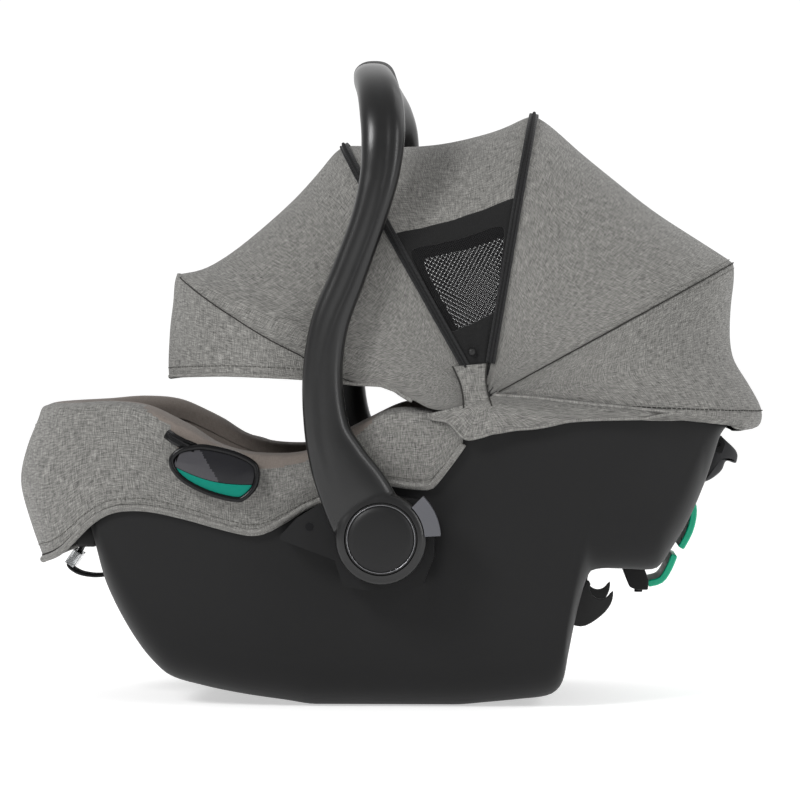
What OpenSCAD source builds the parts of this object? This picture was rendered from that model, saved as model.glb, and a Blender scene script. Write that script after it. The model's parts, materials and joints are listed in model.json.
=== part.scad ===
// Infant car seat: reclined bucket shell with a swinging carry handle, a folding
// canopy on four bows, a harness, a sliding headrest and a latch for a vehicle base.
// X runs from the foot end (-) to the head end (+), Y is across, Z is up.
// The origin is on the floor under the middle of the seat.

/* [Shell] */
// Foremost point of the shell rim, at the foot end
foot_x = -306; // [-320:1:-300]
// Rearmost point of the shell rim, at the head end
head_x = 296; // [290:1:300]
// Half width of the shell 50 mm above the floor
base_half = 150; // [140:1:155]
// Widening of each side for every millimetre of height
side_draft = 0.147; // [0.1:0.001:0.16]
// Wall thickness of the shell
wall = 3.5; // [3:0.1:4]
// Radius of the corners along the underside
base_corner = 50; // [35:1:60]
// Thickness of the foam liner
foam_t = 16; // [12:1:20]
// Thickness of the padded lining
lining_t = 8; // [5:1:9]

/* [Handle] */
// Height of the handle pivot above the floor
hub_z = 148; // [140:1:155]
// Distance of the arm's middle from the middle plane
arm_y = 204; // [204:0.5:208]
// Thickness of the arm and its hub across the seat
arm_t = 22; // [20:1:24]
// Radius of the hub
hub_r = 36.4; // [34:0.2:38]
// Radius of the hub's cover disc
cap_r = 27.6; // [25:0.2:29]
// Radius of the handle's pivot pin
pin_r = 8; // [7:0.5:9]
// Height of the middle of the grip above the floor
grip_z = 545; // [545:1:550]
// Half length of the soft grip
grip_half = 100; // [80:1:110]

/* [Canopy] */
// Canopy pivot, distance towards the head end
pivot_x = 85.5; // [80:0.5:90]
// Canopy pivot, height above the floor
pivot_z = 263; // [260:1:266]
// Half width over the canopy fabric
canopy_half = 187; // [186:0.5:189]
// Corner radius of the bows and of the fabric
canopy_corner = 110; // [90:5:120]
// Thickness of the canopy fabric with its lining
fabric_t = 2.5; // [2:0.1:3]
// Thickness of the flat bows
bow_t = 2.6; // [2:0.1:2.6]
// Width of the flat bows
bow_w = 9; // [8:1:10]
// Radius of the canopy's pivot pins
bow_pin_r = 4; // [3:0.5:5]

/* [Latch] */
// Diameter of the base bar that the hooks close on
latch_bar_d = 18.6; // [18:0.2:20]
// Distance of each hook from the middle plane
hook_y = 62; // [50:1:80]
// Thickness of each hook
hook_t = 7; // [5:1:8]

/* [Harness] */
// Width of the harness webbing
web_w = 36; // [25:1:38]
// Thickness of the harness webbing
web_t = 1.8; // [1.5:0.1:2.5]
// Distance of each shoulder strap from the middle plane
strap_y = 36; // [30:1:45]

/* [Hidden] */
$fn = 64;
eps = 0.3;              // working gap between separate pieces

charcoal = "#2d2d2e";
satin_black = "#333333";
melange = "#82817b";
taupe = "#5d5550";
webbing = "#1c1c1d";
teal = "#00806a";
steel = "#b8bbbe";
foam_white = "#dddbd4";

// ---- curves and skins ----

// Slope of the outline p at its point i.
function slope(p, i) = let (a = max(i - 1, 0), b = min(i + 1, len(p) - 1))
    (p[b][1] - p[a][1]) / (p[b][0] - p[a][0]);

// Index of the stretch of p that holds x.
function stretch(p, x, i = 0) =
    i >= len(p) - 2 || x < p[i + 1][0] ? i : stretch(p, x, i + 1);

// Smooth curve through the points p, as height over x.
function curve(p, x) = let (
    i = stretch(p, x),
    h = p[i + 1][0] - p[i][0],
    t = (x - p[i][0]) / h)
    p[i][1] * (1 + 2 * t) * (1 - t) * (1 - t) + p[i + 1][1] * t * t * (3 - 2 * t)
    + slope(p, i) * h * t * (1 - t) * (1 - t) - slope(p, i + 1) * h * t * t * (1 - t);

// Smooth path through points of any size, n steps a stretch.
function blend4(a, b, c, d, t) = 0.5 * (2 * b + (c - a) * t
    + (2 * a - 5 * b + 4 * c - d) * t * t + (3 * b - a - 3 * c + d) * t * t * t);
function path(p, n) = [
    for (i = [0:len(p) - 2], k = [0:n - 1])
        blend4(p[max(i - 1, 0)], p[i], p[i + 1], p[min(i + 2, len(p) - 1)], k / n),
    p[len(p) - 1]];

function flip(list) = [for (i = [len(list) - 1:-1:0]) list[i]];
function unit(v) = v / norm(v);

// Solid through closed rings of equal length, with flat end faces.
module skin(rings) {
    n = len(rings);
    m = len(rings[0]);
    polyhedron(
        points = [for (ring = rings) each ring],
        faces = concat(
            [[for (j = [0:m - 1]) j]],
            [[for (j = [m - 1:-1:0]) (n - 1) * m + j]],
            [for (i = [0:n - 2], j = [0:m - 1]) let (k = (j + 1) % m)
                [i * m + j, (i + 1) * m + j, (i + 1) * m + k, i * m + k]]),
        convexity = 8);
}

// Open-topped tub between outer and inner open rings.
module tub(outer, inner) {
    n = len(outer);
    m = len(outer[0]);
    b = n * m;
    polyhedron(
        points = concat([for (ring = outer) each ring], [for (ring = inner) each ring]),
        faces = concat(
            [for (i = [0:n - 2], j = [0:m - 2])
                [i * m + j, (i + 1) * m + j, (i + 1) * m + j + 1, i * m + j + 1]],
            [for (i = [0:n - 2], j = [0:m - 2])
                [b + i * m + j, b + i * m + j + 1, b + (i + 1) * m + j + 1,
                    b + (i + 1) * m + j]],
            [for (i = [0:n - 2]) [b + i * m, b + (i + 1) * m, (i + 1) * m, i * m]],
            [for (i = [0:n - 2]) let (j = i * m + m - 1)
                [j, j + m, b + j + m, b + j]],
            [[for (j = [0:m - 1]) j]],
            [[for (j = [m - 1:-1:0]) b + j]],
            [[0, m - 1, b + m - 1, b]],
            [[for (j = [m - 1:-1:0]) (n - 1) * m + j]],
            [[for (j = [0:m - 1]) b + (n - 1) * m + j]],
            [[b - 1, b - m, 2 * b - m, 2 * b - 1]]),
        convexity = 8);
}

module both_sides() {
    children();
    mirror([0, 1, 0]) children();
}

// Extrudes an X-Z outline across the seat from y0 to y1.
module plate_y(y0, y1) {
    translate([0, y1, 0]) rotate([90, 0, 0]) linear_extrude(y1 - y0) children();
}

// Round bar across the seat.
module bar_y(x, z, r, y0, y1) {
    plate_y(y0, y1) translate([x, z]) circle(r);
}

// ---- the tub's own shape ----

// Underside of the shell at the middle plane, from foot to head.
underside = [[-306, 237], [-298, 231], [-280, 214], [-265, 190], [-255, 164],
    [-246, 133], [-239, 107], [-232, 90], [-223, 73], [-213, 56], [-200, 39],
    [-184, 24.5], [-157, 16], [-123, 9], [-85, 3.5], [-60, 0], [60, 0], [85, 2],
    [115, 5], [137, 8], [146, 13.5], [151, 24], [155, 46], [163, 83], [172, 114],
    [178, 119.5], [200, 121], [220, 122], [236, 136], [245, 148.5], [257, 170],
    [267, 195], [275, 215], [284, 232], [296, 243]];
// Height of the shell's rim.
rim = [[-306, 249], [-273, 250], [-239, 252], [-205, 249], [-176, 238], [-140, 222],
    [-108, 214], [-62, 216], [-25, 234], [10, 247], [60, 245], [120, 247],
    [200, 251], [260, 251], [296, 249]];
// Upper face of the foam along the middle plane.
foam_line = [[-285, 242], [-262, 215], [-225, 176], [-180, 138], [-130, 105],
    [-80, 82], [-20, 72], [40, 80], [100, 110], [160, 150], [215, 190], [258, 225],
    [280, 240]];
foot_round = 80;        // where the rounding of the foot end starts
front_len = 3 - foot_round - foot_x;
foot_power = 2.6;
head_round = 198;       // where the rounding of the head end starts
head_corner = 100;
ref_half = 178;

function under(x) = max(0, curve(underside, x));
function plan(x) =
    x < -foot_round
    ? pow(1 - pow((-foot_round - x) / front_len, foot_power), 1 / foot_power)
    : x > head_round
    ? 1 - (head_corner - sqrt(pow(head_corner, 2) - pow(x - head_round, 2))) / ref_half
    : 1;
// Half width of the shell's outside at x and height z.
function half_at(x, z) = plan(x) * (base_half + side_draft * (z - 50));

// Open cross ring at x, inset from the shell's outside, from rim zt to bottom zb.
function half_ring(x, zt, zb, inset, r0) = let (
    r = min(r0, 0.75 * (zt - zb), 0.8 * (half_at(x, zb) - inset)),
    ws = half_at(x, zb + r) - inset)
    concat(
        [for (s = [0:0.25:0.75]) let (z = zt + (zb + r - zt) * s)
            [x, half_at(x, z) - inset, z]],
        [for (a = [0:18:90]) [x, ws - r + r * cos(a), zb + r - r * sin(a)]],
        [[x, (ws - r) / 2, zb]]);
function ring(x, zt, zb, inset, r0) = let (h = half_ring(x, zt, zb, inset, r0)) concat(
    [for (p = h) [p[0], -p[1], p[2]]], [[x, 0, zb]], flip(h));

shell_xs = [for (i = [0:len(underside) - 2], k = [0:1])
    underside[i][0] + (underside[i + 1][0] - underside[i][0]) * k / 2, head_x];
function spread(x, a0, a1, b0, b1) = b0 + (x - a0) * (b1 - b0) / (a1 - a0);

module outer_tub() {
    tub([for (x = shell_xs) ring(x, curve(rim, x), under(x), 0, base_corner)],
        [for (s = shell_xs) let (x = spread(s, foot_x, head_x, foot_x + 5, head_x - 5))
            ring(x, curve(rim, x), min(under(x) + wall, curve(rim, x) - 0.8),
                wall, base_corner - wall)]);
}

foam_x0 = -283;
foam_x1 = 270;
foam_gap = 0.6;
foam_out = wall + foam_gap;
foam_in = foam_out + foam_t;
lining_out = foam_in + 0.5;
lining_in = lining_out + lining_t;
function xs(a, b, n) = [for (i = [0:n]) a + (b - a) * i / n];
function foam_top(x) = curve(foam_line, x);

// ---- shell and padding ----

axle_x = 146;
axle_z = 84;
slot_half = hook_t / 2 + 1.5;

module outer_shell() color(charcoal) difference() {
    outer_tub();
    both_sides() {
        // slots for the two hooks in the rear wall of the base
        translate([148, hook_y - slot_half, 46]) cube([32, 2 * slot_half, 66]);
        // bores for the handle pins
        bar_y(0, hub_z, pin_r + 0.05, 150, 182);
    }
    // mouth for the harness tail under the foot end
    translate([-262, -16, 168]) cube([20, 32, 7]);
}

module foam_liner() color(foam_white) {
    outer_xs = xs(foam_x0, foam_x1, 28);
    inner_xs = xs(foam_x0 + 9, foam_x1 - 9, 28);
    difference() {
        tub([for (x = outer_xs) ring(x, curve(rim, x) - 3,
                max(under(x) + wall + foam_gap, foam_top(x) - 20), foam_out, 46)],
            [for (x = inner_xs) ring(x, curve(rim, x) - 3, foam_top(x), foam_in, 60)]);
        // passage for the harness tail and the crotch strap
        translate([-100, -17, 40]) cube([8, 34, 80]);
        // room for the heads of the handle pins
        both_sides() bar_y(0, hub_z, 16, 152, 175);
    }
}

lining_x0 = foam_x0 + 11;
lining_x1 = foam_x1 - 11;
module seat_lining() color(taupe) difference() {
    tub([for (x = xs(lining_x0, lining_x1, 24))
            ring(x, curve(rim, x) - 2, foam_top(x) + 0.5, lining_out, 60)],
        [for (x = xs(lining_x0 + 6, lining_x1 - 6, 24))
            ring(x, curve(rim, x) - 2, foam_top(x) + 0.5 + lining_t, lining_in, 60)]);
    translate([-100, -17, 60]) cube([8, 34, 80]);
}

// Lower edge of the outer cover on each side.
hem = [[-306, 117], [-283, 128], [-253, 158], [-232, 169], [-203, 171], [-169, 165],
    [-127, 154], [-106, 151], [-89, 158], [-60, 175], [3, 194], [28, 194],
    [52, 206], [68, 224]];
cover_t = 4;
cover_end = 68;
// Plan point and outward direction along the rim, t from 0 at the side to 1 in front.
function rim_point(t) = let (
    a = 90 * max(0, (t - 0.4) / 0.6),
    x = t < 0.4 ? spread(t, 0, 0.4, cover_end, -foot_round)
        : -foot_round - front_len * pow(sin(a), 2 / foot_power),
    y = (base_half + side_draft * (curve(rim, max(x, foot_x)) - 50)))
    [x, y * pow(max(cos(a), 0), 2 / foot_power)];
// Section of the cover at plan point p with outward direction n and front share f.
function cover_ring(p, n, f) = let (
    x = max(foot_x, p[0]),
    zt = curve(rim, x),
    zh = curve(hem, x),
    zm = (zt + zh) / 2,
    lean = side_draft * (zt - zh) * plan(x) * n[1],
    low = spread(f, 0, 1, 0.8 - lean, 4),
    mid = spread(f, 0, 1, 0.8 - lean / 2, 15),
    outline = [[low, zh], [low + cover_t, zh], [mid + cover_t, zm], [0.6 + cover_t, zt + 2],
        [1, zt + 5.5], [-lining_in, zt + 5.5], [-lining_in - 1.5, zt + 1.2],
        [0.6, zt + 1.2], [mid, zm]])
    [for (q = outline) [p[0] + n[0] * q[0], p[1] + n[1] * q[0], q[1]]];
function cover_side(t) = let (
    p = rim_point(t),
    q = rim_point(t + 0.01),
    r = rim_point(t - 0.01),
    d = unit([r[0] - q[0], r[1] - q[1]]),
    n = t <= 0.4 ? [0, 1] : t >= 1 ? [-1, 0] : [-d[1], d[0]],
    f = pow(max(0, (t - 0.55) / 0.45), 2))
    cover_ring(p, n, f);
cover_ts = concat(xs(0, 0.36, 9), xs(0.4, 0.98, 13), [1]);

module seat_cover() color(melange) {
    half = [for (t = cover_ts) cover_side(t)];
    other = [for (i = [len(half) - 2:-1:0]) [for (q = half[i]) [q[0], -q[1], q[2]]]];
    skin([for (ring = concat(half, other)) flip(ring)]);
}

insert_t = 16;
insert_gap = lining_t + 1;
insert_end = 92;
// The insert thins towards its end under the shoulders.
function insert_th(x) = insert_t - 11 * max(0, (x - 50) / (insert_end - 50));
function seat_top(x) = foam_top(x) + insert_gap + insert_th(x);
module infant_insert() color(taupe) difference() {
    skin([for (x = xs(-150, insert_end, 12)) let (
        th = insert_th(x),
        w = 104 - 26 * pow(abs(x + 16) / 134, 4),
        z = foam_top(x) + insert_gap) [
            [x, -w - 20, z + 34], [x, -w, z + 12], [x, -w + 30, z + 0.3], [x, 0, z],
            [x, w - 30, z + 0.3], [x, w, z + 12], [x, w + 20, z + 34],
            [x, w + 4, z + 44], [x, w - 18, z + th + 8], [x, 0, z + th],
            [x, -w + 18, z + th + 8], [x, -w - 4, z + 44]]]);
    translate([-105, -18, 60]) cube([14, 36, 90]);
}

// ---- headrest ----

back_angle = atan2(foam_top(215) - foam_top(135), 80);
rest_x = 128;           // lower edge of the headrest
module on_back(lift) {
    translate([rest_x, 0, foam_top(rest_x) + insert_gap + lift])
        rotate([0, -back_angle, 0]) children();
}

rest_len = 120;
module wing_outline(half, height, thick) {
    difference() {
        translate([-half, 0]) square([2 * half, height]);
        translate([-half + thick, thick]) square([2 * half - 2 * thick, height]);
    }
}
module headrest_shell() color(satin_black) on_back(6)
    rotate([90, 0, 90]) linear_extrude(rest_len - 8) wing_outline(104, 62, 3);
module headrest_pad() color(taupe) on_back(10.2)
    rotate([90, 0, 90]) linear_extrude(rest_len - 8) offset(r = 6) offset(delta = -6)
        wing_outline(100.5, 66, 22);

// ---- harness ----

buckle_x = -70;
buckle_z = 146;
buckle_tilt = 35;
module at_buckle() {
    translate([buckle_x, 0, buckle_z]) rotate([0, -buckle_tilt, 0]) children();
}

// Flat band along the points p in X and Z, at y, between widths.
module band(p, y0, y1, t) {
    rings = [for (i = [0:len(p) - 1]) let (
        a = p[max(i - 1, 0)],
        b = p[min(i + 1, len(p) - 1)],
        d = unit([b[0] - a[0], b[1] - a[1]]),
        n = [-d[1], d[0]] * t / 2)
        [[p[i][0] - n[0], y1, p[i][1] - n[1]], [p[i][0] + n[0], y1, p[i][1] + n[1]],
            [p[i][0] + n[0], y0, p[i][1] + n[1]], [p[i][0] - n[0], y0, p[i][1] - n[1]]]];
    skin(rings);
}

crotch_x = -96;
module crotch_strap() color(webbing)
    band(path([[crotch_x, 62], [crotch_x - 1, 98], [crotch_x - 5, 114], [-96.6, 127.4]], 4),
        -14, 14, web_t);
// Pad between the buckle and the child.
module crotch_pad() color(taupe) at_buckle()
    translate([-3, 0, -17]) rounded_block(56, 52, 7.2, 12);

module rounded_block(l, w, h, r) {
    linear_extrude(h) offset(r = r) square([l - 2 * r, w - 2 * r], center = true);
}
module buckle_body() color(satin_black) at_buckle() difference() {
    translate([0, 0, -9]) rounded_block(62, 46, 18, 9);
    // well of the release button
    translate([-10, -14, 1]) cube([26, 28, 9]);
    // slots for the two tongues
    translate([20, -19, -3]) cube([14, 38, 6]);
}
module buckle_button() color("#8c1f1c") at_buckle()
    translate([-9.6, -13.6, 5]) cube([25.2, 27.2, 5.5]);
module tongue() {
    at_buckle() translate([0, 0, -1.25]) difference() {
        union() {
            translate([21, 2, 0]) cube([16, 15, 2.5]);
            translate([36, 2, 0]) cube([26, 40, 2.5]);
        }
        translate([50, 6, -1]) cube([5, 32, 5]);
    }
}
module buckle_tongue_left() color(steel) mirror([0, 1, 0]) tongue();
module buckle_tongue_right() color(steel) tongue();

// Shoulder strap: from the tongue over the insert to the slot under the headrest.
function strap_line() = path([
    [-13, 181], [12, 162], [40, seat_top(40) + 24], [72, seat_top(72) + 17],
    [92, foam_top(92) + 21], [110, foam_top(110) + 15], [124, foam_top(124) + 11.6],
    [150, foam_top(150) + 11.6]], 3);
module shoulder_strap() { band(strap_line(), strap_y - web_w / 2, strap_y + web_w / 2, web_t); }
module shoulder_pad() {
    line = strap_line();
    part = [for (i = [2:9]) line[i]];
    for (s = [-1, 1]) band([for (i = [0:len(part) - 1]) let (
        a = part[max(i - 1, 0)], b = part[min(i + 1, len(part) - 1)],
        d = unit([b[0] - a[0], b[1] - a[1]])) part[i] + [-d[1], d[0]] * s * 4],
        strap_y - 21, strap_y + 21, 5);
    band(part, strap_y + 18.4, strap_y + 21, 8);
}
module shoulder_strap_left() color(webbing) mirror([0, 1, 0]) shoulder_strap();
module shoulder_strap_right() color(webbing) shoulder_strap();
module shoulder_pad_left() color(taupe) mirror([0, 1, 0]) shoulder_pad();
module shoulder_pad_right() color(taupe) shoulder_pad();

// Lap strap: from the tongue's far side down to the hip of the insert.
module lap_strap() {
    skin([for (t = [0:0.125:1]) let (
        y = spread(t, 0, 1, 44, 122),
        x = spread(t, 0, 1, -20, 22) + 10 * sin(180 * t),
        z = spread(t, 0, 1, 180, 132) + 14 * sin(180 * t)) [
            [x - 9, y + 1.2, z + web_t], [x + 9, y + 1.2, z + 8 + web_t], [x + 9, y, z + 8],
            [x - 9, y, z]]]);
}
module lap_strap_left() color(webbing) mirror([0, 1, 0]) lap_strap();
module lap_strap_right() color(webbing) lap_strap();

// Tightening unit on the inner slope at the foot end.
adjust_x = -206;
adjust_tilt = atan2(foam_top(-180) - foam_top(-230), 50);
module at_adjuster() {
    translate([adjust_x, 0, foam_top(adjust_x) + insert_gap + 0.3])
        rotate([0, -adjust_tilt, 0]) children();
}
module adjuster_housing() color(satin_black) at_adjuster() difference() {
    translate([0, 0, 1]) rounded_block(54, 46, 14, 8);
    translate([-14, -13, 6]) cube([28, 26, 12]);
    translate([-30, -15, 4.5]) cube([18, 30, 5]);
}
module adjuster_button() color("#55555a") at_adjuster()
    translate([-13.6, -12.6, 11]) cube([27.2, 25.2, 5]);

// Free loop of the harness tail under the foot end, both ends held.
tail_route = [[-251, 171.5], [-258, 168], [-266, 150], [-275, 126], [-284, 113],
    [-276, 104], [-262, 100], [-249, 101], [-239.6, 105]];
module adjuster_strap() color(webbing) band(path(tail_route, 3), -12, 12, web_t);
module adjuster_clip() color("#d4d6d8") translate([-279.6, 0, 119.5]) rotate([0, 34, 0])
    difference() {
        translate([-4.5, -16, -7]) cube([9, 32, 14]);
        translate([-2.4, -13.5, -8]) cube([4.8, 27, 16]);
    }
module harness_yoke() color(steel) translate([146, 0, foam_top(146) - 26])
    rotate([0, -back_angle, 0]) difference() {
        translate([-14, -28, -5]) cube([28, 56, 2.5]);
        for (y = [-26, 8]) translate([-9, y, -6]) cube([5, 18, 5]);
        translate([3, -14, -6]) cube([5, 28, 5]);
    }

// ---- belt guides ----

guide_line = [[-171, 236], [-168, 213], [-153, 195], [-131, 184], [-111, 182],
    [-100, 190], [-97, 204], [-101, 217], [-118, 228], [-140, 232], [-160, 236]];
module guide_outline(inset) {
    offset(r = -inset) polygon(path(concat(guide_line, [guide_line[0]]), 4));
}
guide_y = 184.5;
module belt_guide() color(satin_black) {
    difference() {
        union() {
            plate_y(guide_y, guide_y + 5) guide_outline(0);
            plate_y(guide_y + 5, guide_y + 7) guide_outline(1.5);
            // neck between the guide and the cover, below the belt's slot
            plate_y(176.6, guide_y) translate([-148, 189]) square([38, 12]);
        }
        plate_y(guide_y + 5.5, guide_y + 9) guide_outline(6);
    }
}
module belt_guide_left() mirror([0, 1, 0]) belt_guide();
module belt_guide_right() belt_guide();
module inlay_split(upper) {
    intersection() {
        guide_outline(6.3);
        translate([-150, upper ? 208 : 206]) rotate(-12)
            translate([-60, upper ? 0 : -80]) square([140, 80]);
    }
}
module guide_inlays() color(teal) both_sides()
    plate_y(guide_y + 5.5, guide_y + 7) inlay_split(false);
module guide_lenses() color("#101011") both_sides()
    plate_y(guide_y + 5.5, guide_y + 7) inlay_split(true);

// Shoulder-belt hook behind the seat: two arms with a gap for the belt.
module rear_belt_guide() color("#00a077") plate_y(-38, 38) {
    hook_band([[263.2, 174], [266.4, 167], [266, 156], [262.5, 144], [255.5, 131]], 3);
    hook_band([[250, 125], [245, 113], [238, 103], [226.9, 99.8]], 3);
}
module hook_band(p, r) {
    q = path(p, 3);
    polygon(concat(
        [for (i = [0:len(q) - 1]) q[i] + side(q, i) * r],
        [for (i = [len(q) - 1:-1:0]) q[i] - side(q, i) * r]));
}
function side(q, i) = let (
    a = q[max(i - 1, 0)], b = q[min(i + 1, len(q) - 1)], d = unit(b - a)) [-d[1], d[0]];
module rear_bracket() color(charcoal) plate_y(-70, 70)
    polygon([[203, 119.9], [207, 106], [210, 99], [216, 96.5], [226, 96.5], [226.5, 105],
        [221, 120.5], [212, 120.3]]);

// ---- handle ----

arm_inner = arm_y - arm_t / 2;
arm_outer = arm_y + arm_t / 2;
mount_outer = arm_inner - 0.5;
mount_outline = [[-87, 147], [-71, 164], [-53, 175], [-12, 185], [30, 180], [44, 160],
    [44, 132], [34, 107], [-14, 104], [-32, 107], [-39, 129]];
module handle_mount() color(charcoal) difference() {
    plate_y(160, mount_outer) offset(r = 3) offset(delta = -3) polygon(mount_outline);
    // inner face follows the slope of the shell's side
    translate([-120, half_at(0, 50) + eps, 50]) rotate([-atan(side_draft), 0, 0])
        translate([0, -80, -60]) cube([200, 80, 220]);
    bar_y(0, hub_z, pin_r + 0.05, 150, 200);
    // recess of the lock gear
    bar_y(0, hub_z, 25, mount_outer - 6, 200);
    // socket for a stroller adapter, open below
    translate([-8, 172, 100]) cube([30, 12, 28]);
}
module handle_mount_left() mirror([0, 1, 0]) handle_mount();
module handle_mount_right() handle_mount();

module handle_pins() color(steel) both_sides() {
    bar_y(0, hub_z, pin_r, 158, arm_outer - 4.5);
    bar_y(0, hub_z, 14, 155.4, 158);
}
module lock_gears() color(satin_black) both_sides() difference() {
    union() {
        bar_y(0, hub_z, 20, mount_outer - 5.5, mount_outer - 0.3);
        plate_y(mount_outer - 5.5, mount_outer - 0.3) translate([0, hub_z])
            for (a = [0:20:340]) rotate(a) translate([19, -1.6]) square([4.5, 3.2]);
    }
    bar_y(0, hub_z, pin_r + 0.05, 150, 220);
}

// Middle line of the arm: x, y, z, half width, half thickness.
arm_line = [[-6, arm_y, 156, 25, 9], [-19, arm_y, 184, 27, 10.5], [-34, arm_y, 211, 24, 11],
    [-44, arm_y, 240, 18.5, 11], [-48, arm_y, 282, 16.2, 11],
    [-42.5, arm_y, 325, 15.6, 11], [-27, arm_y, 367, 15, 11],
    [-10, arm_y, 411, 14.4, 11], [0, arm_y - 1, 447, 15.2, 11],
    [3, arm_y - 5, 478, 17.2, 11.5], [1.5, arm_y - 17, 505, 18.2, 12],
    [-2.5, arm_y - 38, grip_z - 20, 17.4, 12.5], [-7, arm_y - 69, grip_z - 8, 16.4, 12.5],
    [-10, grip_half, grip_z - 2.5, 15.6, 12.6]];
grip_line = [[-10, grip_half, grip_z - 2.5, 16, 13], [-11.2, grip_half / 2, grip_z - 0.4, 16, 13.3],
    [-11.5, 0, grip_z, 16, 13.4], [-11.2, -grip_half / 2, grip_z - 0.4, 16, 13.3],
    [-10, -grip_half, grip_z - 2.5, 16, 13]];
function soft(c) = sign(c) * pow(abs(c), 0.8);
// Rings along a line, each square to it; the ends face the given direction.
function bar_rings(q) = [for (i = [0:len(q) - 1]) let (
    a = q[max(i - 1, 0)],
    b = q[min(i + 1, len(q) - 1)],
    end = i == len(q) - 1 || (i == 0 && abs(q[0][1]) < arm_y - 1),
    d = end ? [0, sign(b[1] - a[1]), 0] : unit([b[0] - a[0], b[1] - a[1], b[2] - a[2]]),
    e = unit([1, 0, 0] - d[0] * d),
    f = cross(d, e))
    [for (k = [0:15]) let (u = 22.5 * k)
        [q[i][0], q[i][1], q[i][2]] + e * q[i][3] * soft(cos(u)) + f * q[i][4] * soft(sin(u))]];

button_a0 = 3;
button_a1 = 45;
module sector(r0, r1, a0, a1) {
    difference() {
        circle(r1);
        circle(r0);
        rotate(a0) translate([-2 * r1, -2 * r1]) square([4 * r1, 2 * r1]);
        rotate(a1) translate([-2 * r1, 0]) square([4 * r1, 2 * r1]);
    }
}
module at_hub() { translate([0, hub_z]) children(); }
module handle_arm() color(satin_black) difference() {
    union() {
        skin(bar_rings(path(arm_line, 3)));
        bar_y(0, hub_z, hub_r, arm_inner, arm_outer);
        // ledge that carries the lock button
        plate_y(arm_inner, arm_inner + 2.5) at_hub() sector(hub_r - 4, 51, 0, 48);
    }
    bar_y(0, hub_z, pin_r + 0.05, 150, arm_outer - 4);
    // recess of the cover disc
    bar_y(0, hub_z, cap_r + 1.3, arm_outer - 1.2, 230);
    // hole for the button's stem
    stem_bar(4.3, 180, arm_inner + 3);
}
stem_r = 43.5;
stem_a = 24;
module stem_bar(r, y0, y1) {
    bar_y(stem_r * cos(stem_a), hub_z + stem_r * sin(stem_a), r, y0, y1);
}
module handle_arm_left() mirror([0, 1, 0]) handle_arm();
module handle_arm_right() handle_arm();
module handle_grip() color("#232324") skin(bar_rings(path(grip_line, 5)));
module hub_caps() color(satin_black) both_sides() {
    bar_y(0, hub_z, cap_r, arm_outer - 1, arm_outer + 1.8);
    bar_y(0, hub_z, cap_r - 1.5, arm_outer + 1.8, arm_outer + 2.6);
}
module hub_rings() color(steel) both_sides() difference() {
    bar_y(0, hub_z, cap_r + 1.1, arm_outer - 1, arm_outer + 0.6);
    bar_y(0, hub_z, cap_r + 0.1, arm_outer - 2, arm_outer + 2);
}

button_y0 = arm_outer - 14;
module handle_button() color("#55555a") {
    plate_y(button_y0, arm_outer - 1) at_hub() sector(hub_r + 0.4, 50, button_a0, button_a1);
    stem_bar(3.8, arm_inner + 4.1, button_y0);
}
module handle_button_left() mirror([0, 1, 0]) handle_button();
module handle_button_right() handle_button();
module button_spring() color(steel) difference() {
    stem_bar(6, arm_inner + 2.8, button_y0 - 0.2);
    stem_bar(4.6, arm_inner + 2, button_y0 + 1);
}
module button_spring_left() mirror([0, 1, 0]) button_spring();
module button_spring_right() button_spring();

// ---- canopy ----

// Crown of the fabric at the middle plane, panel by panel, from front to back.
crown_visor = [[-193.5, 281], [-187, 325], [-175, 366]];
crown_front = [[-175, 366], [-150, 381], [-88, 434], [-38, 481]];
crown_top = [[-38, 481], [53, 487], [92, 495], [128, 505]];
crown_rear = [[128, 505], [199, 453], [250, 414], [299, 379]];
crown_skirt = [[299, 379], [299, 330], [304, 295], [316, 272], [328, 250], [325, 238]];
function ray(p) = let (x = p[0] - pivot_x, z = p[1] - pivot_z) [atan2(z, x), norm([x, z])];
canopy_hole = 22;       // clear radius around the pivot

// Arch in the half plane that leaves the pivot axis at angle a.
function arch(a, r, half, inner) = let (
    c = min(canopy_corner, r - inner - 5),
    side = [[inner, half], for (t = [0:15:90]) [r - c + c * sin(t), half - c + c * cos(t)]])
    [for (q = concat(side, flip([for (s = side) [s[0], -s[1]]])))
        [pivot_x + q[0] * cos(a), q[1], pivot_z + q[0] * sin(a)]];
module canopy_part(crown, steps) {
    skin([for (p = path(crown, steps)) let (k = ray(p))
        concat(arch(k[0], k[1], canopy_half, canopy_hole),
            flip(arch(k[0], k[1] - fabric_t, canopy_half - fabric_t, canopy_hole)))]);
}
module canopy_visor() color(melange) canopy_part(crown_visor, 3);
module canopy_panel_front() color(melange) canopy_part(crown_front, 3);
module canopy_panel_top() color(melange) canopy_part(crown_top, 3);
module canopy_panel_rear() color(melange) canopy_part(crown_rear, 3);
module canopy_skirt() color(melange) canopy_part(crown_skirt, 3);

eye_r = 11;
bow_drop = 3.2;         // room between a bow and the fabric over it
bow_gap = 0.5;
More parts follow.
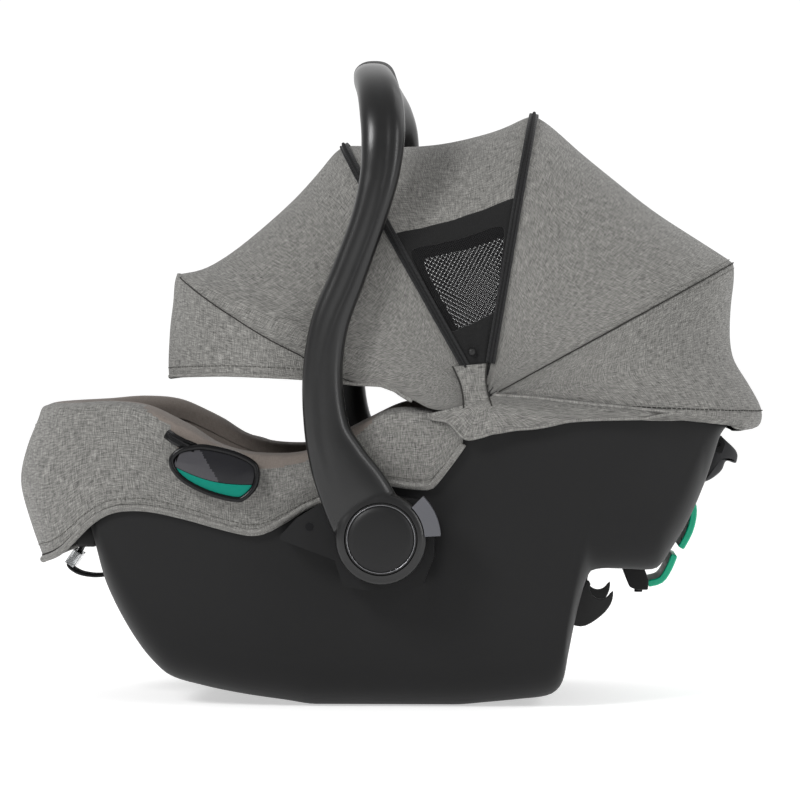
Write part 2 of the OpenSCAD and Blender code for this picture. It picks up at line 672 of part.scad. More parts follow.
// Distance of bow k's middle from the middle plane, 0 for the innermost.
function bow_y(k) = 168.3 + k * (bow_t + bow_gap);
module bow(crown, k, drop = bow_drop) {
    a = ray(crown)[0];
    r = ray(crown)[1] - fabric_t - drop - bow_t / 2;
    y = bow_y(k);
    c = y - (canopy_half - fabric_t - canopy_corner);
    translate([pivot_x, 0, pivot_z]) rotate([0, -a, 0]) difference() {
        union() {
            both_sides() {
                translate([0, y - bow_t / 2, -bow_w / 2]) cube([r - c, bow_t, bow_w]);
                translate([r - c, y - c, -bow_w / 2]) rotate_extrude(angle = 90)
                    translate([c - bow_t / 2, 0]) square([bow_t, bow_w]);
                rotate([90, 0, 0]) translate([0, 0, -y - bow_t / 2])
                    cylinder(r = eye_r, h = bow_t);
            }
            translate([r - bow_t / 2, c - y, -bow_w / 2]) cube([bow_t, 2 * (y - c), bow_w]);
        }
        rotate([90, 0, 0]) cylinder(r = bow_pin_r + 0.05, h = 400, center = true);
    }
}
module bow_front() color(satin_black) bow(crown_front[0], 0, 2 * bow_drop);
module bow_upper_front() color(satin_black) bow(crown_top[0], 1);
module bow_upper_rear() color(satin_black) bow(crown_rear[0], 2);
module bow_rear() color(satin_black) bow(crown_skirt[0], 3, 1.4 * bow_drop);

mount_y0 = 179.4;
mount_y1 = 183.4;
module canopy_mounts() color(satin_black) both_sides() difference() {
    union() {
        plate_y(mount_y0, mount_y1) hull() {
            translate([pivot_x, pivot_z]) circle(13);
            translate([pivot_x - 16, 236]) square([32, 2]);
        }
        plate_y(mount_y0 - 3.5, mount_y1) translate([pivot_x - 16, 205]) square([32, 31]);
        plate_y(160, mount_y0) translate([pivot_x - 16, 205]) square([32, 20]);
    }
    translate([0, half_at(0, 50) + eps, 50]) rotate([-atan(side_draft), 0, 0])
        translate([0, -80, -60]) cube([200, 80, 320]);
    bar_y(pivot_x, pivot_z, bow_pin_r + 0.05, 150, 190);
}
module canopy_pins() color(steel) both_sides() {
    bar_y(pivot_x, pivot_z, bow_pin_r, 165, mount_y1);
    bar_y(pivot_x, pivot_z, 8, 163.5, 166.5);
}

// ---- latch ----

lever_x = 287;
lever_z = 222;
module release_lever() color("#3c3d3f") difference() {
    union() {
        plate_y(-34, 34) polygon([[288, 228.4], [292, 226.5], [300, 214], [307, 202.5],
            [305.5, 197], [297, 198], [290, 185], [278.5, 180.5], [277, 186],
            [287, 200], [291, 208], [287, 216]]);
        bar_y(lever_x, lever_z, 6.5, -34, 34);
    }
    bar_y(lever_x, lever_z, 3.05, -40, 40);
}
module lever_brackets() color(charcoal) both_sides() {
    difference() {
        plate_y(34.5, 40) polygon([[281, 216], [291, 214], [294, 222], [291, 229], [285, 230],
            [283.6, 228.2]]);
        bar_y(lever_x, lever_z, 3.05, 30, 50);
    }
    bar_y(lever_x, lever_z, 3, 30, 38);
}

bar_x = 185;
bar_z = 97.4;
module hook_outline() difference() {
    union() {
        translate([axle_x, axle_z]) circle(11);
        polygon(path([[146, 93.5], [158, 96.5], [168, 96], [174, 104], [176.5, 101], [180, 97],
            [186, 96], [193, 97], [196, 94], [194, 84], [186, 74], [172, 65], [160, 66],
            [146, 74.5]], 3));
    }
    translate([bar_x, bar_z]) circle(d = latch_bar_d);
    // mouth that lets the bar in, opening a little outwards
    translate([bar_x, bar_z]) rotate(45) polygon([[0, 0.5 - latch_bar_d / 2],
        [30, -1.5 - latch_bar_d / 2], [30, 1.5 + latch_bar_d / 2], [0, latch_bar_d / 2 - 0.5]]);
}
module latch_hooks() color(satin_black) difference() {
    union() {
        both_sides() plate_y(hook_y - hook_t / 2, hook_y + hook_t / 2) hook_outline();
        bar_y(axle_x, axle_z, 8, -hook_y, hook_y);
    }
    bar_y(axle_x, axle_z, 5.05, -90, 90);
}
module latch_axle() color(steel) bar_y(axle_x, axle_z, 5, -120, 120);

// Inner cable from the lever to the hooks, in the space under the foam.
cable_y = 42;
cable_route = [[262, 197.5], [247, 176], [230, 157], [210, 146], [190, 141], [172, 131],
    [158, 112], [150, 98]];
module release_cable() color("#1b1b1b") {
    q = path(cable_route, 3);
    skin([for (i = [0:len(q) - 1]) let (n = side(q, i))
        [for (k = [0:7]) let (u = 45 * k) [q[i][0] + 2.5 * cos(u) * n[0],
            cable_y - 2.5 * sin(u), q[i][1] + 2.5 * cos(u) * n[1]]]]);
}

// Countersunk screws that hold the handle mounts and the rear bracket.
module shell_screws() color(steel) {
    both_sides() for (p = [[-60, 157], [30, 166]])
        bar_y(p[0], p[1], 3.5, mount_outer, mount_outer + 0.3);
    for (y = [-55, 55]) translate([218, y, 94]) cylinder(r = 3.5, h = 2.5);
}

outer_shell();
foam_liner();
seat_lining();
seat_cover();
infant_insert();
headrest_shell();
headrest_pad();
crotch_strap();
crotch_pad();
buckle_body();
buckle_button();
buckle_tongue_left();
buckle_tongue_right();
shoulder_strap_left();
shoulder_strap_right();
shoulder_pad_left();
shoulder_pad_right();
lap_strap_left();
lap_strap_right();
adjuster_housing();
adjuster_button();
adjuster_strap();
adjuster_clip();
harness_yoke();
belt_guide_left();
belt_guide_right();
guide_inlays();
guide_lenses();
rear_belt_guide();
rear_bracket();
handle_mount_left();
handle_mount_right();
handle_pins();
lock_gears();
handle_arm_left();
handle_arm_right();
handle_grip();
hub_caps();
hub_rings();
handle_button_left();
handle_button_right();
button_spring_left();
button_spring_right();
canopy_mounts();
canopy_pins();
bow_front();
bow_upper_front();
bow_upper_rear();
bow_rear();
canopy_visor();
canopy_panel_front();
canopy_panel_top();
canopy_panel_rear();
canopy_skirt();
release_lever();
lever_brackets();
latch_hooks();
latch_axle();
release_cable();
shell_screws();
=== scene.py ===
"""Looks of the infant car seat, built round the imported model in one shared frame.

Outlines are in millimetres and become metres when a mesh is made.
X runs from the foot end (-) to the head end (+), Y is across, Z is up.
"""
import json
import math

import bmesh
import bpy
import numpy as np
from mathutils import Matrix, Vector


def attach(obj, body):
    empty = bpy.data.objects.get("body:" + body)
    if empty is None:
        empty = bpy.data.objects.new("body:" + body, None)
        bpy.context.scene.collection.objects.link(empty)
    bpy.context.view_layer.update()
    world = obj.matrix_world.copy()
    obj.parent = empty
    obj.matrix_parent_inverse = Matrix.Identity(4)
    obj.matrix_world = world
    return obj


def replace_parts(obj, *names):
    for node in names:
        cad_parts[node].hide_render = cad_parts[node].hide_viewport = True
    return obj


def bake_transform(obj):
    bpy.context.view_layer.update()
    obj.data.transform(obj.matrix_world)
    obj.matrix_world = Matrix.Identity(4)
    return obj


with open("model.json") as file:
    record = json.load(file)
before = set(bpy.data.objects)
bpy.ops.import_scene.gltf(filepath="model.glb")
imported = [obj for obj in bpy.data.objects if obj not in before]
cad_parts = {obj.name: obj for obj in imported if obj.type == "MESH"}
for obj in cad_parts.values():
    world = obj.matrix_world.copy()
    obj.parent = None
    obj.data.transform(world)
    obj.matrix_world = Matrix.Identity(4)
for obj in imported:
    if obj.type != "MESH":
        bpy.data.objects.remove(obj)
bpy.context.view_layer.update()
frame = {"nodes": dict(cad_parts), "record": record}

MM = 0.001
SIDES = {"left": -1, "right": 1}


# ---------------------------------------------------------------- curves


def curve(points, x):
    """Height over x of the smooth outline through the points."""
    last = len(points) - 1
    i = max(k for k in range(last) if k == 0 or points[k][0] <= x)

    def slope(k):
        a, b = max(k - 1, 0), min(k + 1, last)
        return (points[b][1] - points[a][1]) / (points[b][0] - points[a][0])

    h = points[i + 1][0] - points[i][0]
    t = (x - points[i][0]) / h
    return (
        points[i][1] * (1 + 2 * t) * (1 - t) ** 2
        + points[i + 1][1] * t * t * (3 - 2 * t)
        + slope(i) * h * t * (1 - t) ** 2
        - slope(i + 1) * h * t * t * (1 - t)
    )


def stretch(a, b, c, d, steps):
    """Points of a smooth line from b up to c, with a before them and d after."""
    return [0.5 * (2 * b + (c - a) * t + (2 * a - 5 * b + 4 * c - d) * t * t
                   + (3 * b - a - 3 * c + d) * t ** 3)
            for t in (k / steps for k in range(steps))]


def path(points, steps):
    """Smooth line through points of any size, with so many steps a stretch."""
    p = np.array(points, float)
    out = []
    for i in range(len(p) - 1):
        out += stretch(p[max(i - 1, 0)], p[i], p[i + 1], p[min(i + 2, len(p) - 1)], steps)
    out.append(p[-1])
    return np.array(out)


def closed_line(points, steps):
    """Smooth closed loop through the points, without repeating the first."""
    p = np.array(points, float)
    n = len(p)
    out = []
    for i in range(n):
        out += stretch(p[i - 1], p[i], p[(i + 1) % n], p[(i + 2) % n], steps)
    return np.array(out)


def along(points):
    """Distance of each point from the first, along the line."""
    steps = np.linalg.norm(np.diff(points, axis=0), axis=1)
    return np.concatenate([[0], np.cumsum(steps)])


def evenly(points, count):
    """The same line with evenly spaced points."""
    p = np.array(points, float)
    d = along(p)
    where = np.linspace(0, d[-1], count)
    return np.stack([np.interp(where, d, p[:, k]) for k in range(p.shape[1])], axis=1)


def step(x, a, b):
    """Smooth rise from 0 at a to 1 at b."""
    t = np.clip((x - a) / (b - a), 0, 1)
    return t * t * (3 - 2 * t)


def unit(v):
    return v / max(np.linalg.norm(v), 1e-9)


# ---------------------------------------------------------------- meshes


def add_object(name, verts, faces, uv=None, material=None):
    """Object from points in millimetres; uv is one pair in metres for each point."""
    mesh = bpy.data.meshes.new(name)
    mesh.from_pydata((np.array(verts, float) * MM).tolist(), [], faces)
    if uv is not None:
        layer = mesh.uv_layers.new(name="weave")
        loops = np.zeros(len(mesh.loops), np.int32)
        mesh.loops.foreach_get("vertex_index", loops)
        layer.data.foreach_set("uv", np.array(uv, np.float32)[loops].ravel())
    mesh.validate()
    obj = bpy.data.objects.new(name, mesh)
    bpy.context.scene.collection.objects.link(obj)
    if material:
        mesh.materials.append(material)
    return rounded_off(obj)


def grid_uv(rows):
    """Distances in metres along the columns and along the rows of a grid of points."""
    rows = np.array(rows, float)
    u = np.mean([along(rows[:, j]) for j in range(rows.shape[1])], axis=0)
    v = np.mean([along(row) for row in rows], axis=0)
    return np.stack(np.meshgrid(u, v, indexing="ij"), axis=-1) * MM


def sheet_of(name, rows, material=None, uv=None, closed=False, caps=False):
    """Mesh over a grid of points; closed joins the last column to the first."""
    rows = np.array(rows, float)
    n, m, _ = rows.shape
    uv = grid_uv(rows) if uv is None else np.array(uv, float)
    faces = []
    for i in range(n - 1):
        for j in range(m if closed else m - 1):
            k = (j + 1) % m
            faces.append((i * m + j, i * m + k, (i + 1) * m + k, (i + 1) * m + j))
    if caps:
        faces.append(tuple(range(m - 1, -1, -1)))
        faces.append(tuple((n - 1) * m + j for j in range(m)))
    return add_object(name, rows.reshape(-1, 3), faces, uv.reshape(-1, 2), material)


def bar_faces(base, rings):
    """Faces of a bar made of four-point rings, closed at both ends."""
    faces = []
    for k in range(rings - 1):
        o = base + 4 * k
        for j in range(4):
            q = (j + 1) % 4
            faces.append((o + j, o + q, o + 4 + q, o + 4 + j))
    end = base + 4 * (rings - 1)
    return faces + [(base + 3, base + 2, base + 1, base), (end, end + 1, end + 2, end + 3)]


def coordinates(obj):
    """Places of the object's points in metres, one row each."""
    flat = np.zeros(len(obj.data.vertices) * 3)
    obj.data.vertices.foreach_get("co", flat)
    return flat.reshape(-1, 3)


def cloth_area(obj):
    """Area in square metres of one face of a thin sheet."""
    return sum(p.area for p in obj.data.polygons) / 2


def outward(obj, side):
    """Turns a sheet on one side of the seat so that it faces away from the middle."""
    if obj.data.polygons[0].normal.y * side < 0:
        obj.data.flip_normals()
    return obj


def painted(obj, material):
    """Gives the object this material alone."""
    obj.data.materials.clear()
    obj.data.materials.append(material)
    return obj


def rounded_off(obj):
    """Smooth shading on all faces."""
    for polygon in obj.data.polygons:
        polygon.use_smooth = True
    return obj


def recalculated(obj, weld=False):
    """Turns all faces outwards, after joining points that coincide if weld is set."""
    bm = bmesh.new()
    bm.from_mesh(obj.data)
    if weld:
        bmesh.ops.remove_doubles(bm, verts=bm.verts, dist=1e-6)
    bmesh.ops.recalc_face_normals(bm, faces=bm.faces)
    bm.to_mesh(obj.data)
    bm.free()
    return obj


def applied(obj):
    """The object's mesh with its modifiers applied."""
    bpy.context.view_layer.update()
    graph = bpy.context.evaluated_depsgraph_get()
    mesh = bpy.data.meshes.new_from_object(
        obj.evaluated_get(graph), preserve_all_data_layers=True, depsgraph=graph)
    obj.modifiers.clear()
    obj.data = mesh
    return obj


def thickened(obj, mm, offset=-1.0, levels=1):
    """Gives a sheet its thickness and rounds it by subdivision."""
    solid = obj.modifiers.new("thickness", "SOLIDIFY")
    solid.thickness = mm * MM
    solid.offset = offset
    solid.use_even_offset = False
    return subdivided(obj, levels) if levels else applied(obj)


def subdivided(obj, levels=1):
    """Adds a subdivision to the object's modifiers and applies them all."""
    smooth = obj.modifiers.new("smooth", "SUBSURF")
    smooth.levels = levels
    smooth.render_levels = levels
    return applied(obj)


def frames(line, up):
    """Side and normal of each point of a line, with the normal close to up."""
    line = np.array(line, float)
    up = np.array(up, float)
    tangents = np.gradient(line, axis=0)
    out = []
    for i, t in enumerate(tangents):
        t = unit(t)
        side = unit(np.cross(t, up if up.ndim == 1 else up[i]))
        out.append((side, np.cross(side, t)))
    return out


def swept(name, line, profile, up=(0, 0, 1), material=None):
    """Sweeps a closed profile of (side, normal) pairs along a line."""
    line = np.array(line, float)
    rows = [[p + s * a + n * b for a, b in profile] for p, (s, n) in zip(line, frames(line, up))]
    return recalculated(sheet_of(name, rows, material, closed=True, caps=True))


def circle(radius, sides=8):
    turns = np.arange(sides) * 2 * math.pi / sides
    return [(radius * math.cos(t), radius * math.sin(t)) for t in turns]


def rounded_band(width, thick, corner=3):
    """Section of a flat band with round edges."""
    r = thick / 2
    turns = np.linspace(-90, 90, 2 * corner + 1)
    right = [(width / 2 - r + r * math.cos(math.radians(t)), r * math.sin(math.radians(t)))
             for t in turns]
    mid = [(width / 4, r), (0, r), (-width / 4, r)]
    left = [(-x, -y) for x, y in right]
    low = [(-x, -y) for x, y in mid]
    return right + mid + left + low


def tube(name, line, radius, material=None, up=(0, 0, 1), sides=8):
    return swept(name, line, circle(radius, sides), up, material)


def dashes(name, line, length, gap, width, height, up, material):
    """Row of stitches: short rounded bars laid along a line."""
    line = np.array(line, float)
    d = along(line)
    up = np.array(up, float)
    ups = up if up.ndim == 2 else np.tile(up, (len(line), 1))
    verts, faces = [], []
    where = np.arange(gap, d[-1] - length, length + gap)
    for start in where:
        ends = []
        for s in (start, start + length):
            p = np.array([np.interp(s, d, line[:, k]) for k in range(3)])
            n = unit(np.array([np.interp(s, d, ups[:, k]) for k in range(3)]))
            ends.append((p, n))
        (a, na), (b, nb) = ends
        t = unit(b - a)
        base = len(verts)
        for p, n, drop in ((a, na, 0.4), (a + t * length * 0.25, na, 0), (b - t * length * 0.25, nb, 0),
                           (b, nb, 0.4)):
            side = unit(np.cross(t, n)) * width / 2
            top = n * height * (1 - drop)
            verts += [p - side, p - side * 0.6 + top, p + side * 0.6 + top, p + side]
        faces += bar_faces(base, 4)
    return recalculated(add_object(name, verts, faces, None, material))


def lathe(name, profile, sides, centre, y_sign, material=None):
    """Turns a profile of (radius, y) pairs about an axis along Y; y counts outwards."""
    turns = np.linspace(0, 2 * math.pi, sides, endpoint=False)
    rows = [[(centre[0] + r * math.cos(t), y_sign * y, centre[1] + r * math.sin(t)) for r, y in profile]
            for t in turns]
    rows.append(rows[0])
    return recalculated(sheet_of(name, rows, material), weld=True)


def cut(obj, cutter):
    """Takes the cutter out of the object."""
    tool = obj.modifiers.new("cut", "BOOLEAN")
    tool.operation = "DIFFERENCE"
    tool.object = cutter
    tool.solver = "EXACT"
    applied(obj)
    bpy.data.objects.remove(cutter)
    return obj


def block(name, low, high):
    """Plain box between two corners."""
    (x0, y0, z0), (x1, y1, z1) = low, high
    verts = [(x, y, z) for x in (x0, x1) for y in (y0, y1) for z in (z0, z1)]
    faces = [(0, 1, 3, 2), (4, 6, 7, 5), (0, 4, 5, 1), (2, 3, 7, 6), (0, 2, 6, 4), (1, 5, 7, 3)]
    return recalculated(add_object(name, verts, faces))


def sharpened(obj, degrees=35):
    obj.data.set_sharp_from_angle(angle=math.radians(degrees))
    return obj


def joined(name, objects):
    """One object out of several."""
    bpy.ops.object.select_all(action="DESELECT")
    for o in objects:
        o.select_set(True)
    bpy.context.view_layer.objects.active = objects[0]
    bpy.ops.object.join()
    objects[0].name = name
    objects[0].data.name = name
    return objects[0]


def mirrored(name, obj):
    """Copy of an object on the other side of the middle plane."""
    other = obj.copy()
    other.data = obj.data.copy()
    other.name = name
    bpy.context.scene.collection.objects.link(other)
    other.data.transform(Matrix.Scale(-1, 4, (0, 1, 0)))
    other.data.flip_normals()
    return other


# ---------------------------------------------------------------- materials


class Maker:
    """Node tree of one material."""

    def __init__(self, name, roughness, specular=0.5, metallic=0.0):
        self.material = bpy.data.materials.new(name)
        self.material.use_nodes = True
        self.nodes = self.material.node_tree.nodes
        self.links = self.material.node_tree.links
        self.shader = self.nodes["Principled BSDF"]
        self.shader.inputs["Roughness"].default_value = roughness
        self.shader.inputs["Specular IOR Level"].default_value = specular
        self.shader.inputs["Metallic"].default_value = metallic

    def link(self, source, target):
        self.links.new(source, target)

    def place(self, coords, scale=(1, 1, 1), turn=(0, 0, 0)):
        """Coordinates in metres, from the weave's UV map or from the object, scaled and turned."""
        if coords == "uv":
            source = self.nodes.new("ShaderNodeUVMap")
            source.uv_map = "weave"
            out = source.outputs["UV"]
        else:
            out = self.nodes.new("ShaderNodeTexCoord").outputs["Object"]
        mapping = self.nodes.new("ShaderNodeMapping")
        mapping.inputs["Scale"].default_value = scale
        mapping.inputs["Rotation"].default_value = turn
        self.link(out, mapping.inputs["Vector"])
        return mapping.outputs["Vector"]

    def noise(self, where, scale=1.0, detail=2.0, roughness=0.5):
        node = self.nodes.new("ShaderNodeTexNoise")
        node.inputs["Scale"].default_value = scale
        node.inputs["Detail"].default_value = detail
        node.inputs["Roughness"].default_value = roughness
        self.link(where, node.inputs["Vector"])
        return node.outputs["Fac"]

    def wave(self, where, scale, direction):
        node = self.nodes.new("ShaderNodeTexWave")
        node.bands_direction = direction
        node.inputs["Scale"].default_value = scale
        self.link(where, node.inputs["Vector"])
        return node.outputs["Fac"]

    def calc(self, operation, a, b):
        node = self.nodes.new("ShaderNodeMath")
        node.operation = operation
        for socket, value in zip(node.inputs, (a, b)):
            if isinstance(value, (int, float)):
                socket.default_value = value
            else:
                self.link(value, socket)
        return node.outputs["Value"]

    def blended(self, a, share_a, b, share_b):
        """Sum of two values, each in its share."""
        return self.calc("ADD", self.calc("MULTIPLY", a, share_a), self.calc("MULTIPLY", b, share_b))

    def spread(self, value, low, high, out_low, out_high):
        node = self.nodes.new("ShaderNodeMapRange")
        self.link(value, node.inputs["Value"])
        for key, number in (("From Min", low), ("From Max", high), ("To Min", out_low), ("To Max", out_high)):
            node.inputs[key].default_value = number
        return node.outputs["Result"]

    def colours(self, value, stops):
        node = self.nodes.new("ShaderNodeValToRGB")
        ramp = node.color_ramp
        while len(ramp.elements) < len(stops):
            ramp.elements.new(0.5)
        for element, (position, colour) in zip(ramp.elements, stops):
            element.position = position
            element.color = (*colour, 1)
        self.link(value, node.inputs["Fac"])
        return node.outputs["Color"]

    def tinted(self, colour, value, low, high):
        """Colour made darker and lighter by a value from 0 to 1."""
        factor = self.spread(value, 0.25, 0.75, low, high)
        node = self.nodes.new("ShaderNodeVectorMath")
        node.operation = "SCALE"
        if isinstance(colour, tuple):
            node.inputs[0].default_value = colour
        else:
            self.link(colour, node.inputs[0])
        self.link(factor, node.inputs["Scale"])
        return node.outputs["Vector"]

    def bump(self, value, depth, strength=1.0):
        node = self.nodes.new("ShaderNodeBump")
        node.inputs["Distance"].default_value = depth
        node.inputs["Strength"].default_value = strength
        self.link(value, node.inputs["Height"])
        self.link(node.outputs["Normal"], self.shader.inputs["Normal"])

    def base(self, colour):
        self.link(colour, self.shader.inputs["Base Color"])

    def rough(self, value):
        self.link(value, self.shader.inputs["Roughness"])


def woven(name, colour, thread=0.0010, turn=0.0, coords="uv", strong=1.0, relief=0.0002):
    """Melange cloth: light and dark slubs along two sets of threads over a plain weave."""
    m = Maker(name, 0.92, 0.25)
    turned = (0, 0, math.radians(turn))
    slub = 9 * thread
    flat = 1 / (3 * thread) if coords == "object" else 1
    warp = m.noise(m.place(coords, (1 / thread, 1 / slub, flat), turned), 1.0, 2.0, 0.6)
    weft = m.noise(m.place(coords, (1 / slub, 1 / thread, flat), turned), 1.0, 2.0, 0.6)
    fine = m.noise(m.place(coords, (1.6 / thread,) * 3, turned), 1.0, 1.0, 0.5)
    cloudy = m.noise(m.place(coords, (9, 9, 9)), 1.0, 3.0, 0.6)
    mix = m.blended(warp, 0.42, weft, 0.42)
    mix = m.calc("ADD", mix, m.calc("MULTIPLY", fine, 0.16))
    stops = [(0.34, tuple(c * (1 - 0.50 * strong) for c in colour)),
             (0.47, tuple(c * (1 - 0.12 * strong) for c in colour)),
             (0.54, tuple(c * (1 + 0.12 * strong) for c in colour)),
             (0.66, tuple(c * (1 + 0.62 * strong) for c in colour))]
    m.base(m.tinted(m.colours(mix, stops), cloudy, 0.93, 1.07))
    pitch = math.pi / (2 * thread) / 10
    over = m.calc("MULTIPLY", m.wave(m.place(coords, (1, 1, 1), turned), pitch, "X"),
                  m.wave(m.place(coords, (1, 1, 1), turned), pitch, "Y"))
    m.bump(m.calc("ADD", over, m.calc("MULTIPLY", mix, 1.5)), relief)
    m.shader.inputs["Sheen Weight"].default_value = 0.12
    m.shader.inputs["Sheen Roughness"].default_value = 0.5
    return m.material


def moulded(name, colour, roughness, specular=0.3, grain=0.00003, pitch=0.0007, scuffs=0.05):
    """Moulded plastic: fine spark texture, faint flow marks and slightly polished patches."""
    m = Maker(name, roughness, specular)
    patches = m.noise(m.place("object", (7, 7, 7)), 1.0, 4.0, 0.6)
    spark = m.noise(m.place("object", (1 / pitch,) * 3), 1.0, 2.0, 0.6)
    scratch = m.noise(m.place("object", (30, 300, 30), (0.3, 0.2, 0.5)), 1.0, 3.0, 0.7)
    m.base(m.tinted(colour, m.blended(patches, 0.7, spark, 0.3), 0.88, 1.12))
    worn = m.blended(patches, 0.6, scratch, 0.4)
    m.rough(m.spread(worn, 0.3, 0.7, roughness - scuffs, roughness + scuffs))
    m.bump(spark, grain)
    return m.material


def webbing_cloth(name, colour):
    """Harness webbing: ribs along the strap with a diagonal twill."""
    m = Maker(name, 0.75, 0.25)
    ribs = m.wave(m.place("uv", (1, 1, 1)), 60, "Y")
    twill = m.wave(m.place("uv", (1, 1, 1), (0, 0, math.radians(35))), 95, "X")
    fibre = m.noise(m.place("uv", (400, 2500, 1)), 1.0, 2.0, 0.6)
    weave = m.blended(ribs, 0.5, twill, 0.5)
    m.base(m.tinted(colour, m.blended(weave, 0.5, fibre, 0.5), 0.7, 1.5))
    m.bump(weave, 0.00025)
    m.shader.inputs["Sheen Weight"].default_value = 0.1
    return m.material


def metal(name, colour, roughness):
    """Brushed metal with faint drawn lines."""
    m = Maker(name, roughness, 0.5, 1.0)
    lines = m.noise(m.place("object", (60, 2500, 60)), 1.0, 2.0, 0.6)
    m.base(m.tinted(colour, lines, 0.9, 1.08))
    m.rough(m.spread(lines, 0.3, 0.7, roughness * 0.8, roughness * 1.25))
    m.bump(lines, 0.00001)
    return m.material


GREY = (0.164, 0.161, 0.152)
TAUPE = (0.142, 0.122, 0.108)
CANOPY_CLOTH = {turn: woven(f"canopy_cloth_{turn}", GREY, thread=0.0009, turn=turn, strong=1.5)
                for turn in (0, 20, 38, 52)}
COVER_CLOTH = woven("cover_cloth", GREY, thread=0.0009, turn=8, strong=1.6)
PIPING_CLOTH = woven("piping_cloth", tuple(c * 1.15 for c in GREY), thread=0.0008, strong=1.4)
SOFT_TAUPE = woven("soft_taupe", TAUPE, thread=0.0006, strong=0.45, coords="object", relief=0.0001)
LINING_TAUPE = woven("lining_taupe", tuple(c * 1.15 for c in TAUPE), thread=0.0006, strong=0.4, relief=0.0001)
BLACK_CLOTH = woven("black_cloth", (0.0070, 0.0070, 0.0072), thread=0.0008, strong=0.6)
NET_THREAD = moulded("net_thread", (0.009, 0.009, 0.0095), 0.7, 0.15)
# Dark seam thread, also used for the painted shade in the cover's groove and along the rear bow's fold.
SEAM_THREAD_AND_SHADE = moulded("seam_thread_and_shade", (0.030, 0.029, 0.027), 0.8, 0.1)
GREY_THREAD = moulded("grey_thread", (0.10, 0.098, 0.09), 0.8, 0.2)
ZIP_TAPE = webbing_cloth("zip_tape", (0.010, 0.010, 0.0105))
ZIP_COIL = moulded("zip_coil", (0.013, 0.013, 0.0135), 0.5, 0.15)
WEBBING = webbing_cloth("webbing", (0.012, 0.012, 0.0125))
SHELL_PLASTIC = moulded("shell_plastic", (0.0115, 0.0115, 0.0118), 0.5, 0.13, 0.00004, 0.0009)
HANDLE_PLASTIC = moulded("handle_plastic", (0.0075, 0.0075, 0.0077), 0.29, 0.42, 0.00001, 0.0006, 0.03)
GRIP_RUBBER = moulded("grip_rubber", (0.008, 0.008, 0.008), 0.62, 0.3, 0.00006, 0.0012)
BLACK_PLASTIC = moulded("black_plastic", (0.012, 0.012, 0.012), 0.45, 0.3)
GREY_PLASTIC = moulded("grey_plastic", (0.082, 0.083, 0.092), 0.4, 0.3)
LEVER_PLASTIC = moulded("lever_plastic", (0.032, 0.032, 0.034), 0.45, 0.3)
GLOSS_BLACK = moulded("gloss_black", (0.004, 0.004, 0.0045), 0.2, 0.22, 0.000004, 0.002, 0.03)
LENS_LIGHT = moulded("lens_light", (0.050, 0.049, 0.054), 0.2, 0.2, 0.000004, 0.002, 0.03)
LENS_DARK = moulded("lens_dark", (0.012, 0.012, 0.014), 0.2, 0.2, 0.000004, 0.002, 0.03)
TEAL_PLASTIC = moulded("teal_plastic", (0.0, 0.165, 0.120), 0.4, 0.12, 0.00001, 0.0006)
GREEN_PLASTIC = moulded("green_plastic", (0.0, 0.36, 0.20), 0.38, 0.4, 0.00002, 0.0006)
RED_PLASTIC = moulded("red_plastic", (0.30, 0.012, 0.010), 0.35, 0.4)
FOAM = moulded("foam", (0.022, 0.022, 0.023), 0.9, 0.2, 0.0003, 0.004)
STEEL = metal("steel", (0.55, 0.55, 0.56), 0.3)
BRIGHT_METAL = metal("bright_metal", (0.22, 0.22, 0.23), 0.3)
SCREW_METAL = metal("screw_metal", (0.016, 0.016, 0.017), 0.5)
PALE_THREAD = moulded("grey_thread_light", (0.16, 0.157, 0.146), 0.8, 0.2)


def clear_plastic():
    """Slightly hazy clear plastic."""
    m = Maker("clear_plastic", 0.12, 0.5)
    haze = m.noise(m.place("object", (40, 40, 40)), 1.0, 3.0, 0.5)
    m.base(m.tinted((0.80, 0.82, 0.83), haze, 0.94, 1.04))
    m.rough(m.spread(haze, 0.3, 0.7, 0.08, 0.2))
    m.shader.inputs["Transmission Weight"].default_value = 0.75
    m.shader.inputs["IOR"].default_value = 1.45
    return m.material


CLEAR_PLASTIC = clear_plastic()
CAP_PLASTIC = moulded("cap_plastic", (0.0080, 0.0080, 0.0083), 0.40, 0.25, 0.00003, 0.0007)


# ---------------------------------------------------------------- the shell and its lining

UNDERSIDE = [(-306, 237), (-299, 231), (-282, 214), (-268, 190), (-258.5, 164), (-249.5, 133),
             (-242.5, 107), (-235.5, 90), (-226.5, 73), (-216, 56), (-203, 39), (-186.5, 24.5), (-158, 16),
             (-123, 9), (-85, 3.5), (-60, 0), (60, 0), (85, 2), (115, 5), (138, 8), (147.5, 13.5),
             (153, 24), (157, 46), (164.5, 83), (173, 112), (180, 117.5), (200, 118), (226, 117), (233, 119),
             (238, 125), (246, 137), (256, 153), (265, 171), (274, 193), (280.5, 214), (286, 232), (296, 243)]
RIM = [(-306, 249), (-273, 250), (-239, 252), (-205, 249), (-176, 238), (-140, 222), (-108, 214),
       (-62, 216), (-25, 234), (10, 247), (60, 245), (120, 247), (200, 251), (260, 251), (296, 249)]
FOAM_LINE = [(-285, 242), (-262, 215), (-225, 176), (-180, 138), (-130, 105), (-80, 82), (-20, 72),
             (40, 80), (100, 110), (160, 150), (215, 190), (258, 225), (280, 240)]
FOOT_X, HEAD_X = -306, 296
FOOT_ROUND, FOOT_POWER = 80, 2.6
FRONT_LEN = 3 - FOOT_ROUND - FOOT_X
HEAD_ROUND, HEAD_CORNER, REF_HALF = 198, 100, 178
BASE_HALF, SIDE_DRAFT = 150, 0.147
WALL = 3.5
# Distance of each base hook from the middle plane.
HOOK_Y = 62
LINING_OUT = WALL + 0.6 + 16 + 0.5
LINING_T = 8
LINING_IN = LINING_OUT + LINING_T


def under(x):
    return max(0, curve(UNDERSIDE, x))


def foam_top(x):
    return curve(FOAM_LINE, x)


